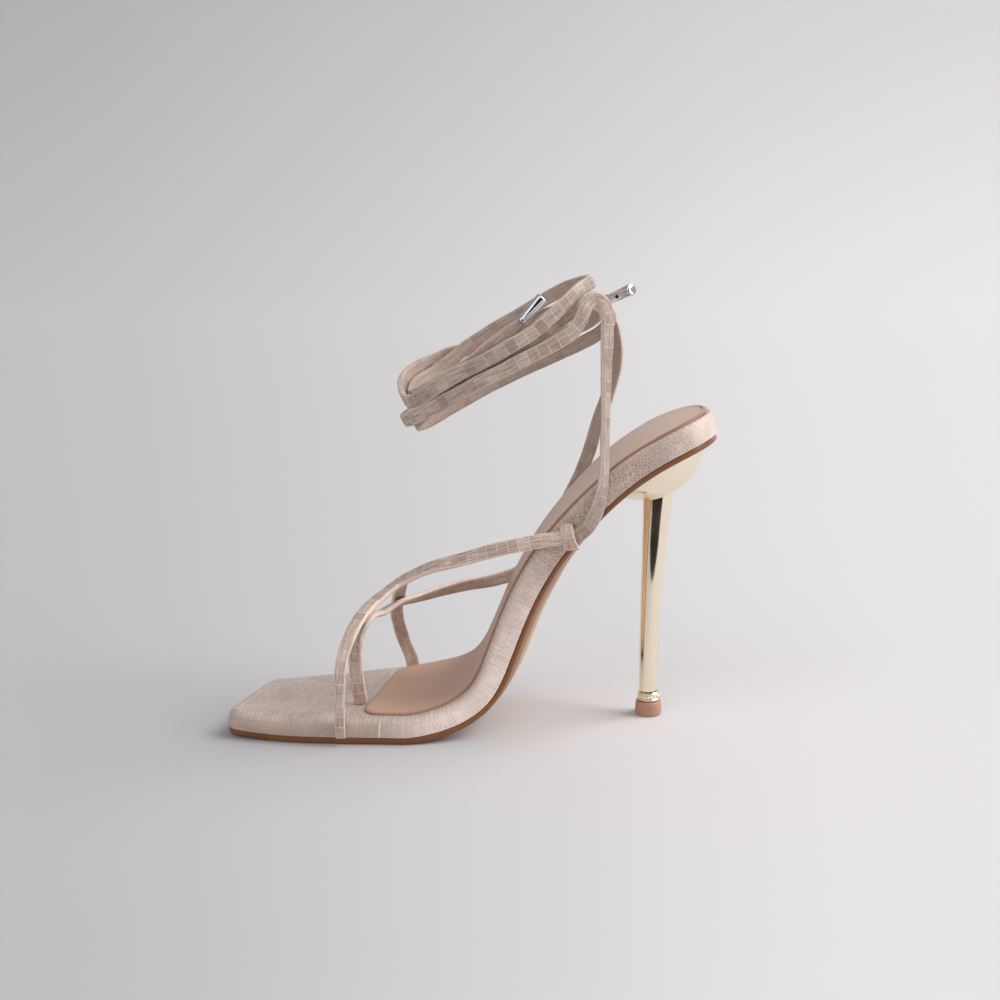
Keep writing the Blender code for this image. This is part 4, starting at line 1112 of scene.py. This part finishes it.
def rolled_leather(name, painted_light_scale):
    """Streaked leather with pressed tiles, a painted highlight on its full edges and a darker inside that is
    partly painted shade. The last argument scales its whole colour: above 1 it paints light on it, below 1 it
    paints shade.
    """
    material, tree, shader = new_material(name, roughness=0.42)
    ways = split(tree, attribute(tree, "skin", "Vector"))
    flat = add(tree, "ShaderNodeCombineXYZ", {0: ways["X"], 1: ways["Y"]}).outputs[0]
    tile_line, tile_tone = tiles(tree, flat, *STRAP_TILES)
    stretch = vector_maths(tree, "MULTIPLY", {0: flat, 1: STREAK_STRETCH})
    streak = add(tree, "ShaderNodeTexNoise", {"Vector": stretch, "Scale": 1.0, "Detail": 4.0, "Roughness": 0.6,
                                              "Distortion": 0.4}).outputs["Fac"]
    patch = add(tree, "ShaderNodeTexNoise", {"Vector": flat, "Scale": 0.06, "Detail": 2.0}).outputs["Fac"]
    line = maths(tree, "MULTIPLY", tile_line, map_range(tree, patch, *LINES_SHOW))
    leather = blend_colours(tree, tile_tone, *TILE_PINK)
    leather = blend_colours(tree, map_range(tree, streak, *STREAK_SHOWS), leather, STREAK_BROWN)
    leather = blend_colours(tree, line, leather, TILE_LINE)
    # Painted highlight: the full edges are painted paler, as the light that their glossy roll catches.
    edge_painted_highlight = map_range(tree, maths(tree, "ABSOLUTE", ways["Z"]), *EDGE_HIGHLIGHT_SHOWS)
    leather = blend_colours(tree, edge_painted_highlight, leather, EDGE_PAINTED_HIGHLIGHT)
    # The inside is painted a darker tan, partly its own duller face and partly painted shade.
    leather = blend_colours(tree, map_range(tree, ways["Z"], *INSIDE_SHADE_SHOWS), leather, INSIDE_TAN_PAINTED_SHADE)
    relief = maths(tree, "MULTIPLY_ADD", streak, STREAK_RISE, maths(tree, "MULTIPLY", line, -1.0))
    fill(tree, shader, {"Base Color": vector_maths(tree, "SCALE", {0: leather, "Scale": painted_light_scale}),
                        "Roughness": map_range(tree, streak, 0.3, 0.7, 0.38, 0.54),
                        "Normal": bump(tree, relief, 0.00022, 0.6),
                        "Coat Weight": 0.15, "Coat Roughness": 0.35})
    return material


# The vamp's copy of the leather is painted lighter: painted light on the vamp straps and keepers.
VAMP_PAINTED_LIGHT = 1.22
vamp_leather = rolled_leather("vamp_leather_painted_light", VAMP_PAINTED_LIGHT)

# Width, thickness, fullness, groove, points round the section
VAMP_SIZES = (STRAP_W, STRAP_T, STRAP_FULLNESS, STRAP_GROOVE, 40)
# Width along a strap: row of its table, share of the full width
MAIN_WIDTHS = ((0, 0.68), (2, 0.74), (3, 0.82), (5, 1.0))
FULL_WIDTH = ((0, 1.0),)
# Distance and depth of each crease
MAIN_CREASES = ((14.0, 0.05), (33.0, 0.03), (71.0, 0.06), (76.0, 0.05), (118.0, 0.05), (131.0, 0.04))
LATERAL_CREASES = ((15.0, 0.04), (30.0, 0.03), (52.0, 0.05))
TOE_CREASES = ((22.0, 0.04), (37.0, 0.06), (41.0, 0.04), (66.0, 0.03), (108.0, 0.05))
VAMP_STRAPS = (
    (STRAP_MAIN, MAIN_WIDTHS, MAIN_CREASES),
    (STRAP_LATERAL, FULL_WIDTH, LATERAL_CREASES),
    (STRAP_TOE, FULL_WIDTH, TOE_CREASES),
)
builder = bmesh.new()
for number, (table, widths, creases) in enumerate(VAMP_STRAPS):
    route = spline(table, 10)
    rows, shares = zip(*widths)
    swells = soft_swell(route, creases) * np.interp(np.linspace(0, len(table) - 1, len(route)), rows, shares)
    part_mesh = strap_mesh(f"vamp_strap_{number}", route, swells, VAMP_SIZES, vamp_leather)
    builder.from_mesh(part_mesh)
    bpy.data.meshes.remove(part_mesh)
vamp_mesh = mesh_from(builder, "vamp_straps_rolled")
smooth(vamp_mesh, 55.0)
vamp_mesh.materials.append(vamp_leather)
settle(link_object("vamp_straps_rolled", vamp_mesh), "strap_leather", "vamp_straps")

# Keepers: short leather loops on the arch walls, each folded over the strap and set into the wrap.
# The strap runs on through its keeper and becomes the ankle tie behind it.
# Name, middle of the strap inside, its direction, outward direction, half height
KEEPERS = (
    ("keeper_medial", (69.8, -28.1, 81.7), (1.0, 0.0, 0.08), (0.0, -1.0, 0.0), 4.7),
    ("keeper_lateral", (62.2, 28.2, 67.4), (0.56, 0.0, 0.83), (0.0, 1.0, 0.0), 4.1),
)
# Section line: outward, upward share of the half height, lean along the strap, outward direction, fullness
KEEPER_SHAPE = (
    (-2.55, -1.0, 1.1, 0.0, -1.0, 1.0), (0.0, -1.0, 1.0, 0.0, -1.0, 1.06), (1.55, -0.86, 0.8, 0.7, -0.7, 1.0),
    (2.25, -0.5, 0.3, 1.0, -0.2, 0.9), (2.35, 0.0, -0.1, 1.0, 0.0, 0.86), (2.25, 0.5, -0.4, 1.0, 0.2, 0.9),
    (1.55, 0.86, -0.5, 0.7, 0.7, 0.84), (0.0, 1.0, -0.3, 0.0, 1.0, 0.72), (-2.55, 1.0, 0.0, 0.0, 1.0, 0.72),
)
KEEPER_SIZES = (5.9, 1.7, 0.7, 0.0, 28)
for name, centre, direction, outward, half_height in KEEPERS:
    normal = Vector(outward)
    forward = Vector(direction).normalized()
    upward = forward.cross(normal).normalized()
    if upward.z < 0.0:
        upward = -upward
    rows = []
    for out, up, lean, face_out, face_up, fullness in KEEPER_SHAPE:
        spot = Vector(centre) + normal * out + upward * (up * half_height) + forward * lean
        rows.append((*spot, *(normal * face_out + upward * face_up), fullness))
    route = spline(rows, 8)
    loop = strap_mesh(name + "_loop", route, route[:, 6], KEEPER_SIZES, vamp_leather)
    settle(link_object(name + "_loop", loop), "strap_leather", name)

# Ankle ties: the same rolled strap, risen from each keeper and wound into one oval coil at the ankle.
# Each ends free in a metal tip.
COIL_CENTRE = (45.0, 0.0, 150.0)
COIL_TILT = 27.0
COIL_HALF_LENGTH = 45.0
COIL_HALF_WIDTH = 29.0
RISER_MEDIAL = (
    (69.95, -28.1, 81.75, 0.0, -1.0, 0.0),
    (73.0, -28.3, 82.2, 0.0, -1.0, 0.0),
    (76.6, -28.7, 84.8, 0.05, -1.0, 0.0),
    (79.6, -28.9, 89.6, 0.25, -0.97, 0.0),
    (82.4, -28.5, 99.0, 0.72, -0.70, 0.0),
    (83.6, -25.6, 120.0, 0.92, -0.40, 0.0),
    (84.0, -21.6, 145.0, 0.80, -0.60, 0.0),
    (84.3, -19.6, 160.0, 0.62, -0.78, 0.0),
    (84.1, -18.9, 167.0, 0.60, -0.80, 0.0),
    (82.2, -18.9, 171.8, 0.58, -0.81, 0.0),
    (79.2, -20.0, 172.9, 0.52, -0.84, 0.0),
    (76.3, -21.6, 170.2, 0.45, -0.88, -0.05),
    (74.2, -22.7, 165.6, 0.42, -0.90, -0.05),
    (71.2, -23.9, 161.0, 0.38, -0.92, 0.0),
)
RISER_LATERAL = (
    (62.35, 28.2, 67.65, 0.0, 1.0, 0.0),
    (66.6, 28.3, 74.8, 0.0, 1.0, 0.0),
    (71.8, 28.4, 84.6, 0.05, 1.0, 0.0),
    (76.6, 28.4, 94.6, 0.10, 1.0, 0.0),
    (80.6, 28.2, 105.0, 0.20, 0.97, 0.0),
    (84.2, 27.6, 118.0, 0.35, 0.93, 0.0),
    (88.8, 26.2, 132.0, 0.45, 0.90, 0.0),
    (91.4, 24.4, 144.0, 0.55, 0.84, 0.0),
    (91.0, 23.0, 154.0, 0.58, 0.82, 0.0),
    (88.0, 22.6, 162.2, 0.55, 0.84, 0.0),
    (82.6, 23.2, 167.2, 0.48, 0.88, 0.0),
    (74.6, 24.6, 167.4, 0.40, 0.92, 0.0),
)
# Angle in degrees, radial offset, height across the coil
TURNS_MEDIAL = (
    (60.0, 0.4, -2.9), (67.0, 0.0, -3.1), (80.0, 0.0, -2.9), (93.0, 0.0, -2.9), (105.0, 0.0, -2.9),
    (122.0, 0.0, -3.6), (140.0, 0.2, -4.6), (158.0, 1.2, -5.4), (180.0, 2.4, -5.6), (200.0, 1.2, -5.6),
    (225.0, 0.0, -5.4), (250.0, 0.0, -5.2), (270.0, 0.0, -5.4), (290.0, 0.0, -6.2), (305.0, -0.6, -6.2),
    (318.0, -2.0, -5.8), (330.0, -3.3, -5.0), (345.0, -3.8, -3.2), (360.0, -3.8, -0.6), (376.0, -3.7, 2.4),
    (394.0, -3.4, 4.2), (408.0, -3.4, 3.8), (420.0, -3.4, 3.0), (431.0, -3.4, 2.2), (440.0, -3.4, 1.4),
    (452.0, -3.4, 0.6), (461.0, -3.4, -0.6), (472.0, -3.4, -2.2), (490.0, -3.4, -3.6), (508.0, -2.9, -5.4),
    (525.0, -1.7, -7.6), (540.0, -1.0, -9.6), (555.0, -1.9, -11.0), (585.0, -3.2, -11.6),
    (610.0, -3.4, -11.6), (635.0, -3.4, -12.0), (652.0, -3.2, -12.4), (666.0, -2.2, -12.6),
    (676.0, -0.8, -12.4), (686.0, 0.0, -11.8), (696.0, 0.2, -10.0), (705.0, 0.2, -7.4), (714.0, 0.2, -4.4),
)
TURNS_LATERAL = (
    (-58.0, 1.0, 3.6), (-75.0, 0.3, 4.6), (-88.0, 0.0, 5.0), (-102.0, 0.0, 4.8), (-109.0, 0.0, 5.9),
    (-116.0, 0.0, 7.4), (-126.0, 0.0, 8.2), (-144.0, 0.0, 9.2), (-160.0, -0.6, 7.5), (-174.0, -1.6, 4.6),
    (-188.0, -1.6, 1.8), (-203.0, -0.6, 0.8), (-222.0, 0.0, 1.8), (-233.0, 0.0, 2.9), (-249.0, 0.0, 3.5),
    (-262.0, 0.0, 3.5), (-275.0, 0.0, 4.1), (-289.0, 0.0, 4.7), (-300.0, 0.0, 6.5), (-312.0, 0.0, 8.3),
    (-327.0, 0.0, 10.1), (-345.0, -1.2, 10.0), (-360.0, -2.2, 9.9), (-376.0, -3.0, 10.2),
    (-397.0, -3.4, 10.7), (-417.0, -3.4, 10.1), (-432.0, -3.4, 9.1), (-445.0, -3.4, 8.7),
    (-460.0, -3.4, 7.7), (-470.0, -3.4, 7.0), (-480.0, -3.4, 5.4), (-493.0, -3.4, 4.3), (-512.0, -3.8, 4.2),
    (-527.0, -4.7, 2.8), (-540.0, -5.0, 1.8), (-555.0, -4.8, 1.6), (-570.0, -4.0, 2.0), (-590.0, -3.4, 3.0),
    (-608.0, -3.4, 4.2), (-619.0, -3.4, 5.6), (-628.0, -3.4, 7.2), (-634.0, -3.5, 7.9),
)
END_MEDIAL = (
    (85.2, 1.4, 169.0, 0.95, 0.0, 0.0),
    (84.6, -1.8, 170.1, 0.92, 0.30, 0.0),
    (84.9, -4.2, 171.0, 0.80, 0.60, 0.0),
    (86.2, -5.8, 171.8, 0.72, 0.70, 0.0),
)
END_LATERAL = (
    (47.7, -24.9, 161.0, 0.0, -1.0, 0.0),
    (51.3, -25.1, 164.3, 0.0, -1.0, 0.0),
)
END_TAPER = 0.62
TIE_STEPS = 6
# The ties' copy of the same leather is painted darker: painted shade on the risers and the coil.
TIE_PAINTED_SHADE = 0.91
TIE_SIZES = (STRAP_W, STRAP_T, STRAP_FULLNESS, STRAP_GROOVE, 32)
CREASES_MEDIAL = ((7.0, 0.06), (11.0, 0.05), (97.0, 0.06), (104.0, 0.07), (170.0, 0.03), (188.0, 0.05))
CREASES_LATERAL = ((9.0, 0.04), (104.0, 0.05), (113.0, 0.05), (190.0, 0.04), (300.0, 0.04), (402.0, 0.04))
TIES = (
    ("tie_medial", RISER_MEDIAL, TURNS_MEDIAL, END_MEDIAL, CREASES_MEDIAL),
    ("tie_lateral", RISER_LATERAL, TURNS_LATERAL, END_LATERAL, CREASES_LATERAL),
)


def coil_row(angle, radial, height):
    """Place and outward direction on the tilted coil."""
    turn = math.radians(angle)
    tilt = math.radians(COIL_TILT)
    lengthwise = Vector((math.cos(tilt), 0.0, math.sin(tilt)))
    upward = Vector((-math.sin(tilt), 0.0, math.cos(tilt)))
    sideways = Vector((0.0, -1.0, 0.0))
    outward = lengthwise * (math.cos(turn) / COIL_HALF_LENGTH) + sideways * (math.sin(turn) / COIL_HALF_WIDTH)
    outward.normalize()
    oval = lengthwise * (COIL_HALF_LENGTH * math.cos(turn)) + sideways * (COIL_HALF_WIDTH * math.sin(turn))
    spot = Vector(COIL_CENTRE) + oval + outward * radial + upward * height
    return (*spot, *outward)


tie_leather = rolled_leather("tie_leather_painted_shade", TIE_PAINTED_SHADE)
for name, riser, turns_table, end, creases in TIES:
    route = spline(riser + tuple(coil_row(*turn) for turn in turns_table) + end, TIE_STEPS)
    swells = soft_swell(route, creases)
    swells[-TIE_STEPS - 1:] *= np.linspace(1.0, END_TAPER, TIE_STEPS + 1)
    mesh = strap_mesh(name + "_strap", route, swells, TIE_SIZES, tie_leather)
    settle(link_object(name + "_strap", mesh), "strap_leather", name)

# Metal tips: short chromed tubes crimped on the free ends of the ties.
# Each has a rolled mouth, a closed end, and the medial one shows its small set screw.
AGLET_DIRECTION_MEDIAL = (8.0, -8.8, 4.4)
AGLET_DIRECTION_LATERAL = (7.8, -0.2, 9.0)
# Half profile of a tip: radius, distance from its mouth
TIP = (
    (0.0, 1.6), (1.2, 1.6), (1.45, 0.35), (1.6, 0.35), (1.8, 0.42), (1.92, 0.6), (1.94, 0.9), (1.88, 1.1),
    (1.88, 1.4), (1.96, 1.6), (2.38, 11.7), (2.36, 12.05), (2.2, 12.35), (1.95, 12.5), (1.2, 12.55), (0.0, 12.55),
)
# Set screw of the medial tip: radius and height, then its distance from the mouth and from the axis
SET_SCREW = ((0.0, -0.6), (0.8, -0.6), (0.8, 0.1), (0.65, 0.22), (0.0, 0.22))
SCREW_ALONG = 5.6
SCREW_OUT = 2.1
CHROME = paint(226, 226, 230)
CHROME_DULL = (0.04, 0.1)
SCREW_BLACK = paint(58, 52, 48)
chrome = plated("chrome_finish", CHROME, *CHROME_DULL)
tree = chrome.node_tree
shader = tree.nodes["Principled BSDF"]
plain_tint = shader.inputs["Base Color"].links[0].from_socket
screw_tint = blend_colours(tree, attribute(tree, "screw"), plain_tint, SCREW_BLACK)
fill(tree, shader, {"Base Color": screw_tint})
for name, end, direction in (
    ("aglet_medial", END_MEDIAL, AGLET_DIRECTION_MEDIAL),
    ("aglet_lateral", END_LATERAL, AGLET_DIRECTION_LATERAL),
):
    tip_mesh = lathe(name + "_tube", TIP, end[-1][:3], direction, 48)
    if name == "aglet_medial":
        axis = Vector(direction).normalized()
        to_front = Vector((0.0, -1.0, 0.0))
        to_front = (to_front - axis * to_front.dot(axis)).normalized()
        screw_place = Vector(end[-1][:3]) + axis * SCREW_ALONG + to_front * SCREW_OUT
        screw_mesh = lathe("set_screw", SET_SCREW, screw_place, to_front, 20)
        builder = bmesh.new()
        mark = builder.verts.layers.float.new("screw")
        builder.from_mesh(screw_mesh)
        for vert in builder.verts:
            vert[mark] = 1.0
        builder.from_mesh(tip_mesh)
        builder.to_mesh(tip_mesh)
        builder.free()
        bpy.data.meshes.remove(screw_mesh)
    smooth(tip_mesh, 35.0)
    tip_mesh.materials.append(chrome)
    tip = settle(link_object(name + "_tube", tip_mesh), "chrome", name)
